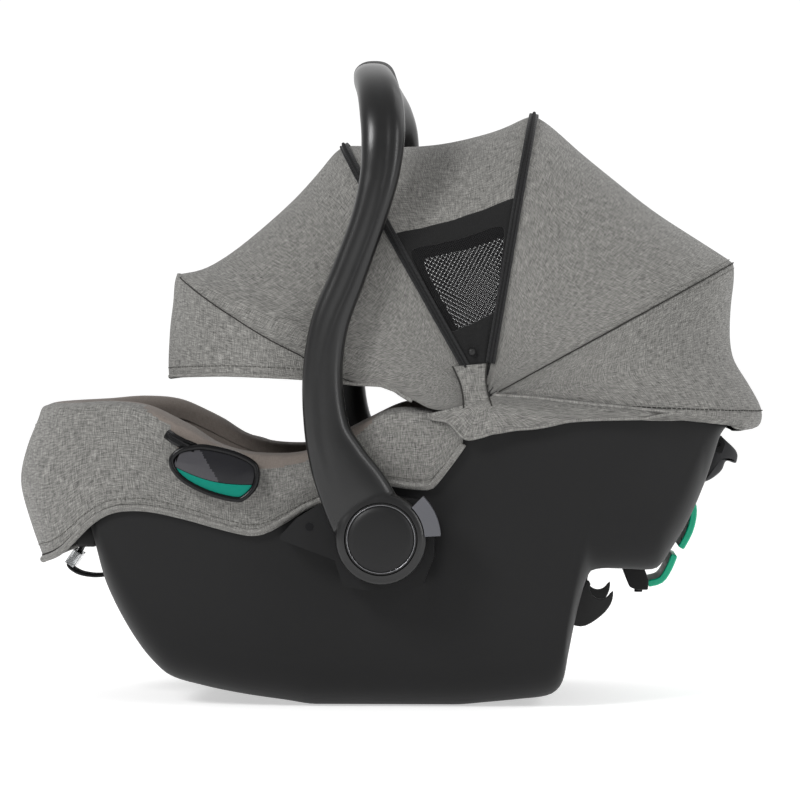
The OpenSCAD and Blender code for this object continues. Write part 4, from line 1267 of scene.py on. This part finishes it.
def handle_arms():
    """Both arms, each with its hub in one moulding."""
    line = path(ARM, 12)
    bar = recalculated(sheet_of("handle_moulding_right", arm_rows(line, 56, arm_groove), HANDLE_PLASTIC,
                                closed=True, caps=True))
    rim = [(0, 193.6), (35.2, 193.6), (37.2, 194.4), (HUB_R, 196.4), (HUB_R, 209.6), (37.1, 212.4),
           (34.0, 214.2), (31.9, 214.8), (0, 214.8)]
    hub = lathe("hub", rim, 96, HUB, 1)
    right = joined("handle_moulding_right", [bar, hub])
    remeshed(right, 1.25, 0.5, 7)
    pocket = lathe("pocket", [(0, 212.4), (29.6, 212.4), (30.4, 213.2), (31.0, 220), (0, 220)], 96, HUB, 1)
    cut(right, pocket)
    sharpened(rounded_off(painted(right, HANDLE_PLASTIC)), 40)
    left = mirrored("handle_moulding_left", right)
    for name, obj in (("left", left), ("right", right)):
        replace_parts(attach(obj, "handle"), f"handle_arm_{name}")


def hub_covers():
    """Bright ring and plain cap on each hub."""
    for name, side in SIDES.items():
        ring = lathe(f"hub_trim_{name}", [(27.9, 212.4), (28.6, 212.4), (28.6, 214.35), (28.25, 214.6),
                                          (27.9, 214.35)], 96, HUB, side, BRIGHT_METAL)
        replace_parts(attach(ring, "handle"), "hub_rings")
        cap = lathe(f"hub_cap_{name}", [(0, 216.9), (12, 216.8), (22, 216.2), (26.2, 215.4), (27.3, 214.6),
                                        (27.6, 213.6), (27.6, 212.0), (0, 212.0)], 96, HUB, side, CAP_PLASTIC)
        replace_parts(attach(cap, "handle"), "hub_caps")


def grip():
    """Rubber sleeve on the top of the handle, a little thinner at its ends."""
    line = path(GRIP, 26)
    swell = np.interp(along(line[:, :3]), [0, 3, 8, 192, 197, 200], [0.965, 0.99, 1.0, 1.0, 0.99, 0.965])
    line[:, 3:] *= swell[:, None]
    rows = arm_rows(line, 48)
    sleeve = recalculated(sheet_of("handle_grip_rubber", rows, GRIP_RUBBER, closed=True, caps=True))
    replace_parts(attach(sleeve, "handle"), "handle_grip")


# ---------------------------------------------------------------- belt guides

GUIDE = [(-178, 213.6), (-170.7, 221.9), (-158, 225.2), (-145.6, 225.3), (-123.1, 220.3), (-106.4, 211.9),
         (-101.8, 203.1), (-103.9, 189.8), (-113.5, 179.3), (-123.3, 177.3), (-145.6, 182.9),
         (-165.1, 192.7), (-175.7, 203.3)]


def shrunk(loop, mm):
    """Closed (x, z) loop moved inwards."""
    after, before = np.roll(loop, -1, axis=0), np.roll(loop, 1, axis=0)
    t = after - before
    t /= np.linalg.norm(t, axis=1)[:, None]
    n = np.stack([-t[:, 1], t[:, 0]], axis=1)
    centre = loop.mean(axis=0)
    sign = np.sign(np.sum((centre - loop) * n, axis=1).mean())
    return loop + n * sign * mm


def guide_lines(inside):
    """Upper edge of the dark window, the lines on both sides of the parting, and the lower edge."""
    split = np.array([(-174.0, 207.0), (-105.0, 191.0)])
    d = unit(split[1] - split[0])
    n = np.array([-d[1], d[0]])
    height = (inside - split[0]) @ n
    places = (inside - split[0]) @ d
    near = places[np.abs(height) < 3]
    reach = np.linspace(near.min() + 0.4, near.max() - 0.4, 60)
    above, below, parting = [], [], []
    order_up, order_low = height > 0, height <= 0

    def edge(mask, s):
        x, h = places[mask], height[mask]
        k = np.argsort(x)
        return float(np.interp(s, x[k], h[k]))
    for s in reach:
        base = split[0] + d * s
        high, low = max(edge(order_up, s), 0.3), min(edge(order_low, s), -0.3)
        sag = -4.6 * math.sin(math.pi * (s - reach[0]) / (reach[-1] - reach[0]))
        above.append(base + n * high)
        below.append(base + n * low)
        parting.append(base + n * max(sag, low + 0.2))
    lift = [p + n * 0.35 for p in parting]
    drop = [p - n * 0.15 for p in parting]
    return above, lift, drop, below


def belt_guides():
    """Glossy belt guide on each side: bezel, two dark windows and a coloured lower part."""
    loop = closed_line(GUIDE, 14)
    inside = shrunk(loop, 4.6)
    middle = loop.mean(axis=0)
    above, lift, drop, below = guide_lines(inside)
    for name, side in SIDES.items():
        rows = []
        for inset, y in ((1.0, 184.6), (0.0, 185.6), (0.0, 189.2), (0.5, 190.8), (1.6, 191.6), (3.2, 191.6),
                         (4.3, 190.8), (4.7, 189.6), (5.2, 188.6)):
            ring = shrunk(loop, inset)
            rows.append([(x, side * y, z) for x, z in np.concatenate([ring, ring[:1]])])
        bezel = recalculated(sheet_of(f"belt_guide_bezel_{name}", rows, GLOSS_BLACK))
        back = [[(x, side * 184.8, z) for x, z in np.concatenate([ring, ring[:1]])]
                for ring in [shrunk(loop, 0.8)] + [middle + (shrunk(loop, 5.2) - middle) * k
                                                   for k in (1, 0.6, 0.25, 0.01)]]
        neck = lathe(f"belt_guide_neck_{name}", [(0, 176.8), (9.0, 176.8), (8.0, 186), (0, 186)], 32,
                     (-135, 200), side, GLOSS_BLACK)
        neck.data.transform(Matrix.Translation((-0.135, 0, 0.200)) @ Matrix.Diagonal((2.0, 1, 0.65, 1))
                            @ Matrix.Translation((0.135, 0, -0.200)))
        piece = joined(f"belt_guide_bezel_{name}", [
            bezel, recalculated(sheet_of("back", back, GLOSS_BLACK)), neck])
        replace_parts(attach(piece, "seat_shell"), f"belt_guide_{name}")

        def fill(label, upper, lower, material, swap):
            """Domed panel between two (x, z) lines."""
            count = len(upper)
            rows = []
            for v in np.linspace(0, 1, 14):
                row = []
                for k in range(count):
                    p = upper[k] + (lower[k] - upper[k]) * v
                    near = np.min(np.linalg.norm(inside - p, axis=1))
                    row.append((p[0], side * (189.4 + 1.7 * (1 - math.exp(-near / 5.0))), p[1]))
                rows.append(row)
            obj = sheet_of(f"{label}_{name}", rows, material)
            thickened(outward(obj, side), 1.0, -1, 0)
            sharpened(obj, 40)
            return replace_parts(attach(obj, "seat_shell"), swap)

        wedge = fill("guide_window", above, lift, LENS_DARK, "guide_lenses")
        wedge.data.materials.append(LENS_LIGHT)
        for polygon in wedge.data.polygons:
            x, _, z = polygon.center / MM
            if x < -151.5 + (220.3 - z) * 0.6:
                polygon.material_index = 1
        arm = swept(f"belt_guide_arm_{name}", [(-180, side * 180, 234), (-174, side * 184, 230),
                                              (-166, side * 187, 226), (-156, side * 187.5, 222)],
                    rounded_band(9, 6, 3), (0, 1, 0), GLOSS_BLACK)
        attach(arm, "seat_shell")
        fill("guide_band", drop, below, TEAL_PLASTIC, "guide_inlays")


# ---------------------------------------------------------------- seat padding

BACK_ANGLE = math.degrees(math.atan2(foam_top(215) - foam_top(135), 80))
REST_X = 128
INSERT_START, INSERT_END = -149, 92
CHANNEL_PITCH = 38
REST_LONG = 112


def insert_th(x):
    return 16 - 11 * max(0, (x - 50) / (INSERT_END - 50))


def from_channel(x):
    """Distance from the nearest cross channel of the insert."""
    return (x - INSERT_START) % CHANNEL_PITCH - CHANNEL_PITCH / 2


def seat_top(x):
    return foam_top(x) + LINING_T + 1 + insert_th(x)


def tilted(points, origin, degrees):
    """Points of a frame turned up by the angle about Y and moved to its origin."""
    a = math.radians(degrees)
    p = np.array(points, float)
    out = np.empty_like(p)
    out[..., 0] = origin[0] + p[..., 0] * math.cos(a) - p[..., 2] * math.sin(a)
    out[..., 1] = origin[1] + p[..., 1]
    out[..., 2] = origin[2] + p[..., 0] * math.sin(a) + p[..., 2] * math.cos(a)
    return out


CLOTH = {"quality": 6, "mass": 0.3, "tension_stiffness": 18, "compression_stiffness": 18,
         "shear_stiffness": 8, "bending_stiffness": 1.5, "use_pressure": True}
CLOTH_FRAMES = 20


def plumped(obj, pressure, movement):
    """Blows a closed cushion up with a cloth simulation, seams held, by at most the movement in mm."""
    rest = coordinates(obj)
    cloth = obj.modifiers.new("cloth", "CLOTH")
    s = cloth.settings
    for key, value in CLOTH.items():
        setattr(s, key, value)
    s.uniform_pressure_force = pressure
    s.effector_weights.gravity = 0
    s.vertex_group_mass = "seams"
    cloth.point_cache.frame_start = 1
    cloth.point_cache.frame_end = CLOTH_FRAMES
    scene = bpy.context.scene
    for frame_number in range(1, CLOTH_FRAMES + 1):
        scene.frame_set(frame_number)
        bpy.context.view_layer.update()
    applied(obj)
    scene.frame_set(1)
    change = coordinates(obj) - rest
    size = np.linalg.norm(change, axis=1, keepdims=True)
    change *= np.minimum(1, movement * MM / np.maximum(size, 1e-9))
    obj.data.vertices.foreach_set("co", (rest + change).ravel())
    obj.data.update()
    return obj


def held(obj, test):
    """Pins the vertices on which the test holds, given in millimetres."""
    group = obj.vertex_groups.new(name="seams")
    for v in obj.data.vertices:
        if test(*(v.co / MM)):
            group.add([v.index], 1.0, "REPLACE")
    return obj


def insert():
    """Newborn insert: a dished cushion with sewn channels and a slot for the crotch strap."""
    rows = []
    for x in np.linspace(INSERT_START, INSERT_END, 62):
        th = insert_th(x)
        w = 104 - 26 * (abs(x + 16) / 134) ** 4
        z = foam_top(x) + LINING_T + 1
        end = min(x - INSERT_START, INSERT_END - x)
        thin = math.sqrt(max(0.0, 1 - max(0, 1 - end / 14) ** 2))
        low = [(-w - 19, z + 35), (-w, z + 12), (-w + 30, z + 1.0), (0, z + 0.6), (w - 30, z + 1.0),
               (w, z + 12), (w + 19, z + 35)]
        high = [(w + 16, z + 43), (w + 4, z + 42), (w - 16, z + th + 9), (w * 0.45, z + th + 1.5),
                (0, z + th), (-w * 0.45, z + th + 1.5), (-w + 16, z + th + 9), (-w - 4, z + 42),
                (-w - 16, z + 43)]
        loop = evenly(np.concatenate([path(low + high, 6), [low[0]]]), 61)[:-1]
        middle = np.array([(p[0], max(z + 1.5, z + 1 + abs(p[0] / (w + 20)) ** 3 * 38)) for p in loop])
        loop = middle + (loop - middle) * (0.25 + 0.75 * thin)
        rows.append([(x, y, zz) for y, zz in loop])
    obj = recalculated(sheet_of("infant_insert_cushion", rows, SOFT_TAUPE, closed=True, caps=True))
    cut(obj, block("slot", (-105.5, -18, 40), (-90.5, 18, 190)))
    remeshed(obj, 4.6, 0.4, 2)

    def channel(x, y, z):
        return (abs(from_channel(x)) < 3.2 and abs(y) < 66 or abs(abs(y) - 70) < 3.0
                or abs(y) < 22 and -109 < x < -87 or abs(y) > 112)
    held(obj, channel)
    for v in obj.data.vertices:
        x, y, z = v.co / MM
        if v.normal.z > 0.4 and abs(y) < 108:
            deep = (1.6 * math.exp(-(from_channel(x) / 2.6) ** 2) * step(abs(y), 72, 66)
                    + 1.8 * math.exp(-((abs(y) - 70) / 2.6) ** 2))
            v.co.z -= deep * MM
    plumped(obj, 3.0, 3.0)
    subdivided(obj, 1)
    rounded_off(painted(obj, SOFT_TAUPE))
    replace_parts(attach(obj, "seat_shell"), "infant_insert")


def wing_loop(half, height, thick, count=110):
    """U-shaped section with round corners, (y, z)."""
    outer, inner = min(28, height / 2), 30
    points = []

    def turn(cy, cz, r, a0, a1, n):
        for a in np.linspace(a0, a1, n):
            points.append((cy + r * math.cos(math.radians(a)), cz + r * math.sin(math.radians(a))))
    turn(-half + outer, outer, outer, 180, 270, 12)
    turn(half - outer, outer, outer, 270, 360, 12)
    turn(half - thick / 2, height - thick / 2, thick / 2, 0, 180, 12)
    turn(half - thick - inner, thick + inner, inner, 0, -90, 12)
    turn(-half + thick + inner, thick + inner, inner, 270, 180, 12)
    turn(-half + thick / 2, height - thick / 2, thick / 2, 0, 180, 12)
    points.append(points[0])
    return evenly(points, count + 1)[:-1]


def headrest_cushion():
    """Headrest with two side wings, seams on both sides of its middle field."""
    origin = (REST_X, 0, foam_top(REST_X) + LINING_T + 1 + 10.2)
    rows = []
    for x in np.linspace(0, REST_LONG, 44):
        end = min(x, REST_LONG - x)
        inset = 9.0 * (1 - math.sqrt(max(0.0, 1 - max(0, 1 - end / 15) ** 2)))
        rows.append([(x, y, z) for y, z in shrunk(wing_loop(100.5, 66, 22), inset)])
    obj = recalculated(sheet_of("headrest_cushion", tilted(rows, origin, BACK_ANGLE), SOFT_TAUPE,
                                closed=True, caps=True))
    remeshed(obj, 4.6, 0.4, 2)
    held(obj, lambda x, y, z: abs(abs(y) - 66) < 3 or abs(y) < 2.4)
    plumped(obj, 3.5, 3.0)
    subdivided(obj, 1)
    rounded_off(painted(obj, SOFT_TAUPE))
    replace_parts(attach(obj, "headrest"), "headrest_pad")
    for name, side in SIDES.items():
        line = [(x, side * 66, 22.8) for x in np.linspace(7, REST_LONG - 7, 40)]
        seam = tube(f"headrest_seam_{name}", tilted(line, origin, BACK_ANGLE), 0.8, SEAM_THREAD_AND_SHADE, (0, 1, 0), 6)
        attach(seam, "headrest")


def bolster(name, a, b, c, origin, degrees, outline=0.45, profile=0.6):
    """Soft block with rounded outline, half sizes a, b, c, about the origin of a tilted frame."""
    def power(v, e):
        return math.copysign(abs(v) ** e, v)
    rows = []
    for lat in np.linspace(-math.pi / 2, math.pi / 2, 25):
        row = []
        for lon in np.linspace(0, 2 * math.pi, 72, endpoint=False):
            ring = power(math.cos(lat), profile)
            row.append((a * ring * power(math.cos(lon), outline), b * ring * power(math.sin(lon), outline),
                        c * power(math.sin(lat), profile)))
        rows.append(row)
    return recalculated(sheet_of(name, tilted(rows, origin, degrees), SOFT_TAUPE, closed=True), weld=True)


# ---------------------------------------------------------------- harness

BUCKLE = (-70, 0, 146)
BUCKLE_TILT = 35
SHOULDER_Y = 36


def flat_up(line):
    """Normals of a line that stays in a plane across Y."""
    t = np.gradient(np.array(line, float), axis=0)
    return np.stack([-t[:, 2], np.zeros(len(t)), t[:, 0]], axis=1)


def in_plane(points, y):
    """Smooth line through (x, z) places at one y."""
    return np.array([(x, y, z) for x, z in path(points, 8)])


def band(name, line, width, body, nodes, thick=1.7):
    """Length of webbing in a plane across Y."""
    line = evenly(line, max(24, int(along(np.array(line))[-1] / 2)))
    obj = swept(name, line, rounded_band(width, thick, 3), flat_up(line), WEBBING)
    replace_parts(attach(obj, body), *nodes)
    return obj


def shoulder_points():
    """Route of a shoulder strap over the padding, (x, z)."""
    return [(-13, 181), (12, 162), (40, seat_top(40) + 24), (72, seat_top(72) + 17), (92, foam_top(92) + 21),
            (110, foam_top(110) + 15), (124, foam_top(124) + 11.6), (150, foam_top(150) + 11.6)]


def lap_strap(name, side):
    """Visible stretch of a lap strap, from the buckle to the seat's side."""
    t = np.linspace(0, 1, 40)
    lap = np.stack([-20 + 42 * t + 10 * np.sin(math.pi * t), side * (44 + 78 * t),
                    180 - 48 * t + 14 * np.sin(math.pi * t)], axis=1)
    ways = np.gradient(lap, axis=0)
    across = np.cross(ways, (1.0, 0, 0)) * -side
    obj = swept(f"lap_webbing_{name}", lap, rounded_band(34, 1.7, 3), across, WEBBING)
    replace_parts(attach(obj, "seat_shell"), f"lap_strap_{name}")


def shoulder_pad(name, side):
    """Pad round a shoulder strap, with a stitched groove near each edge."""
    core = path(shoulder_points(), 3)[2:10]
    core = evenly(path([(x, side * SHOULDER_Y, z) for x, z in core], 6), 60)
    share = np.linspace(0, 1, 60)
    fat = np.sqrt(np.clip(1 - np.clip(1 - np.minimum(share, 1 - share) / 0.08, 0, 1) ** 2, 0.04, 1))
    ups = flat_up(core)
    ups /= np.linalg.norm(ups, axis=1)[:, None]
    rows = []
    for p, n, f in zip(core, ups, fat):
        row = []
        for k in range(40):
            u, v = squircle(2 * math.pi * k / 40, 0.55)
            dent = 0.9 * math.exp(-((abs(u) - 0.82) / 0.06) ** 2)
            row.append(p + np.array([0, 1.0, 0]) * u * 22.5 * (0.86 + 0.14 * f)
                       + n * (v * (5.4 - dent) * f + 0.3))
        rows.append(row)
    pad = recalculated(sheet_of(f"shoulder_cushion_{name}", rows, SOFT_TAUPE, closed=True, caps=True))
    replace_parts(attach(pad, "seat_shell"), f"shoulder_pad_{name}")


def foot_strap():
    """Adjuster strap under the foot end, and the guard behind it."""
    tail = in_plane([(-251, 171.5), (-258, 168), (-266, 150), (-275, 126), (-285, 115), (-277, 107),
                     (-263, 104), (-250, 105), (-240.5, 108)], 0)
    band("adjuster_webbing", tail, 24, "seat_shell", ["adjuster_strap"], thick=3.0)
    guard = painted(block("strap_guard", (-277, -22, 130), (-258, 22, 149)), BLACK_PLASTIC)
    rounded = guard.modifiers.new("edges", "BEVEL")
    rounded.width = 3 * MM
    rounded.segments = 3
    applied(guard)
    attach(guard, "seat_shell")


def harness():
    """The straps that show, with their pads."""
    crotch = in_plane([(-96, 62), (-97, 98), (-101, 114), (-96.6, 127.4)], 0)
    band("crotch_webbing", crotch, 27, "seat_shell", ["crotch_strap"])
    for name, side in SIDES.items():
        line = in_plane(shoulder_points(), side * SHOULDER_Y)
        band(f"shoulder_webbing_{name}", line, 35, "seat_shell", [f"shoulder_strap_{name}"])
        lap_strap(name, side)
        shoulder_pad(name, side)
    pad_origin = tilted([(-3, 0, -17)], BUCKLE, BUCKLE_TILT)[0]
    pad = bolster("crotch_cushion", 28, 26, 4.4, pad_origin, BUCKLE_TILT)
    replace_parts(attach(pad, "seat_shell"), "crotch_pad")
    foot_strap()


# ---------------------------------------------------------------- finish of the kept CAD nodes

FINISH = {
    "shell_plastic": SHELL_PLASTIC, "handle_plastic": HANDLE_PLASTIC, "grip_rubber": GRIP_RUBBER,
    "black_plastic": BLACK_PLASTIC, "grey_plastic": GREY_PLASTIC, "guide_gloss": GLOSS_BLACK,
    "lens_gloss": LENS_DARK, "teal_plastic": TEAL_PLASTIC, "green_plastic": GREEN_PLASTIC,
    "red_button": RED_PLASTIC, "clear_plastic": CLEAR_PLASTIC, "steel": STEEL,
    "ring_metal": BRIGHT_METAL, "cover_fabric": LINING_TAUPE, "canopy_fabric": SOFT_TAUPE,
    "lining_fabric": SOFT_TAUPE, "insert_fabric": SOFT_TAUPE, "webbing": BLACK_PLASTIC, "eps_foam": FOAM,
}
SPECIAL = {"shell_screws": SCREW_METAL, "canopy_pins": SCREW_METAL}
# Edge radius in millimetres of the moulded nodes that stay.
SOFT_EDGES = {
    "handle_mount_left": 2.0, "handle_mount_right": 2.0, "handle_button_left": 1.6,
    "handle_button_right": 1.6, "rear_bracket": 1.2, "rear_belt_guide": 1.6,
    "latch_hooks": 1.0, "buckle_body": 1.0, "buckle_button": 0.8, "buckle_tongue_left": 0.5,
    "buckle_tongue_right": 0.5, "adjuster_housing": 1.0, "adjuster_button": 0.8,
    "adjuster_clip": 0.8, "headrest_shell": 0.9, "lever_brackets": 0.8,
}


def kept_nodes():
    """Materials and softened edges for the CAD nodes that are shown as they are."""
    slots = {row["node"]: row["material_slot"] for row in frame["record"]["subparts"]}
    for name, obj in frame["nodes"].items():
        painted(obj, SPECIAL.get(name) or FINISH[slots[name]])
        if name in SOFT_EDGES:
            weld = obj.modifiers.new("weld", "WELD")
            weld.merge_threshold = 0.00002
            bevel = obj.modifiers.new("edges", "BEVEL")
            bevel.width = SOFT_EDGES[name] * MM
            bevel.segments = 3
            bevel.limit_method = "ANGLE"
            bevel.angle_limit = math.radians(38)
            bevel.use_clamp_overlap = True
            bevel.harden_normals = True


def canopy_brackets():
    """Pivot brackets, hidden under the canopy's flaps."""
    for name, side in SIDES.items():
        disc = lathe("disc", [(0, 181), (14, 181), (14, 185.6), (13, 186.4), (0, 186.4)], 40, PIVOT, side,
                     BLACK_PLASTIC)
        low, high = sorted((side * 180.5, side * 185.8))
        foot = painted(block("foot", (74, low, 236), (97, high, 263)), BLACK_PLASTIC)
        piece = joined(f"canopy_bracket_{name}", [disc, foot])
        sharpened(piece, 40)
        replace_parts(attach(piece, "seat_shell"), "canopy_mounts")


def lever():
    """Rounded release lever behind the shell."""
    outline = closed_line([(283, 228), (289, 229.7), (296, 224), (302.7, 217.5), (305.1, 212.5), (304.5, 207),
                           (302.7, 205.1), (295.3, 206.9), (292, 200), (287.9, 195.3), (281, 190.5),
                           (275, 189.2), (277, 200), (280, 215)], 4)
    rows = []
    for y, inset in ((-34, 9), (-34, 2.4), (-33, 0.8), (-31, 0), (31, 0), (33, 0.8), (34, 2.4), (34, 9)):
        ring = shrunk(outline, inset) if inset < 9 else np.tile(outline.mean(axis=0), (len(outline), 1))
        rows.append([(x, y, z) for x, z in np.concatenate([ring, ring[:1]])])
    obj = recalculated(sheet_of("release_lever_grip", rows, LEVER_PLASTIC))
    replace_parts(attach(obj, "base_lever"), "release_lever")


# ---------------------------------------------------------------- the room

CAMERA_TARGET = Vector((0.00885, 0, 0.2595))
CAMERA_DISTANCE, CAMERA_LENS = 3.3, 167.8
# Degrees towards the head end and upwards from a straight side view.
CAMERA_TURN = (2.0, 1.0)


def lamp(name, where, size, power, aim=(0, 0, 0.3), tall=None):
    """Area light that shines at a place; tall makes it a rectangle."""
    data = bpy.data.lights.new(name, "AREA")
    data.size = size
    if tall:
        data.shape = "RECTANGLE"
        data.size_y = tall
    data.energy = power
    obj = bpy.data.objects.new(name, data)
    obj.location = where
    obj.rotation_euler = (Vector(aim) - Vector(where)).to_track_quat("-Z", "Y").to_euler()
    bpy.context.scene.collection.objects.link(obj)


def pale_floor():
    """Round floor with a faint speckle."""
    rows = [[(r * 1000 * math.cos(t), r * 1000 * math.sin(t), 0) for t in np.linspace(0, 2 * math.pi, 97)]
            for r in (0.0001, 0.5, 2, 6, 14, 30, 80)]
    m = Maker("pale_floor", 0.8, 0.0)
    speck = m.noise(m.place("object", (25, 25, 25)), 1.0, 3.0, 0.6)
    m.base(m.tinted((0.75, 0.75, 0.75), speck, 0.99, 1.01))
    m.shader.inputs["Emission Color"].default_value = (1, 1, 1, 1)
    m.shader.inputs["Emission Strength"].default_value = 0.52
    floor = sheet_of("floor", rows, m.material)
    if floor.data.polygons[100].normal.z < 0:
        floor.data.flip_normals()


def sky():
    """White surroundings, brighter behind the seat."""
    world = bpy.data.worlds.new("studio")
    bpy.context.scene.world = world
    world.use_nodes = True
    nodes, links = world.node_tree.nodes, world.node_tree.links
    background = nodes["Background"]
    background.inputs["Color"].default_value = (1.0, 1.0, 1.0, 1)
    where = nodes.new("ShaderNodeTexCoord")
    parts = nodes.new("ShaderNodeSeparateXYZ")
    links.new(where.outputs["Generated"], parts.inputs["Vector"])
    fade = nodes.new("ShaderNodeMapRange")
    fade.interpolation_type = "SMOOTHSTEP"
    links.new(parts.outputs["Y"], fade.inputs["Value"])
    for key, number in (("From Min", -0.35), ("From Max", 0.75), ("To Min", 0.42), ("To Max", 1.05)):
        fade.inputs[key].default_value = number
    links.new(fade.outputs["Result"], background.inputs["Strength"])


def lamps():
    """Three soft lamps."""
    lamp("key", (-2.1, -2.7, 2.4), 1.1, 95)
    lamp("strip", (2.4, -2.0, 1.3), 0.5, 26, (0, 0, 0.35), 2.2)
    lamp("rear_fill", (2.2, 0.6, 2.6), 2.6, 26)


def side_camera():
    """Camera at the photograph's angle."""
    camera = bpy.data.cameras.new("camera")
    camera.lens = CAMERA_LENS
    camera.sensor_width = 36
    camera.clip_end = 200
    eye = bpy.data.objects.new("camera", camera)
    a, e = (math.radians(angle) for angle in CAMERA_TURN)
    way = Vector((math.sin(a) * math.cos(e), -math.cos(a) * math.cos(e), math.sin(e)))
    eye.location = CAMERA_TARGET + way * CAMERA_DISTANCE
    eye.rotation_euler = (CAMERA_TARGET - eye.location).to_track_quat("-Z", "Y").to_euler()
    bpy.context.scene.collection.objects.link(eye)
    bpy.context.scene.camera = eye
    bpy.context.scene.view_settings.view_transform = "Standard"


shell()
lining()
cover()
canopy_cloth()
side_windows()
zips()
canopy_trim()
handle_arms()
hub_covers()
grip()
belt_guides()
insert()
headrest_cushion()
harness()
canopy_brackets()
lever()
kept_nodes()
pale_floor()
sky()
lamps()
side_camera()
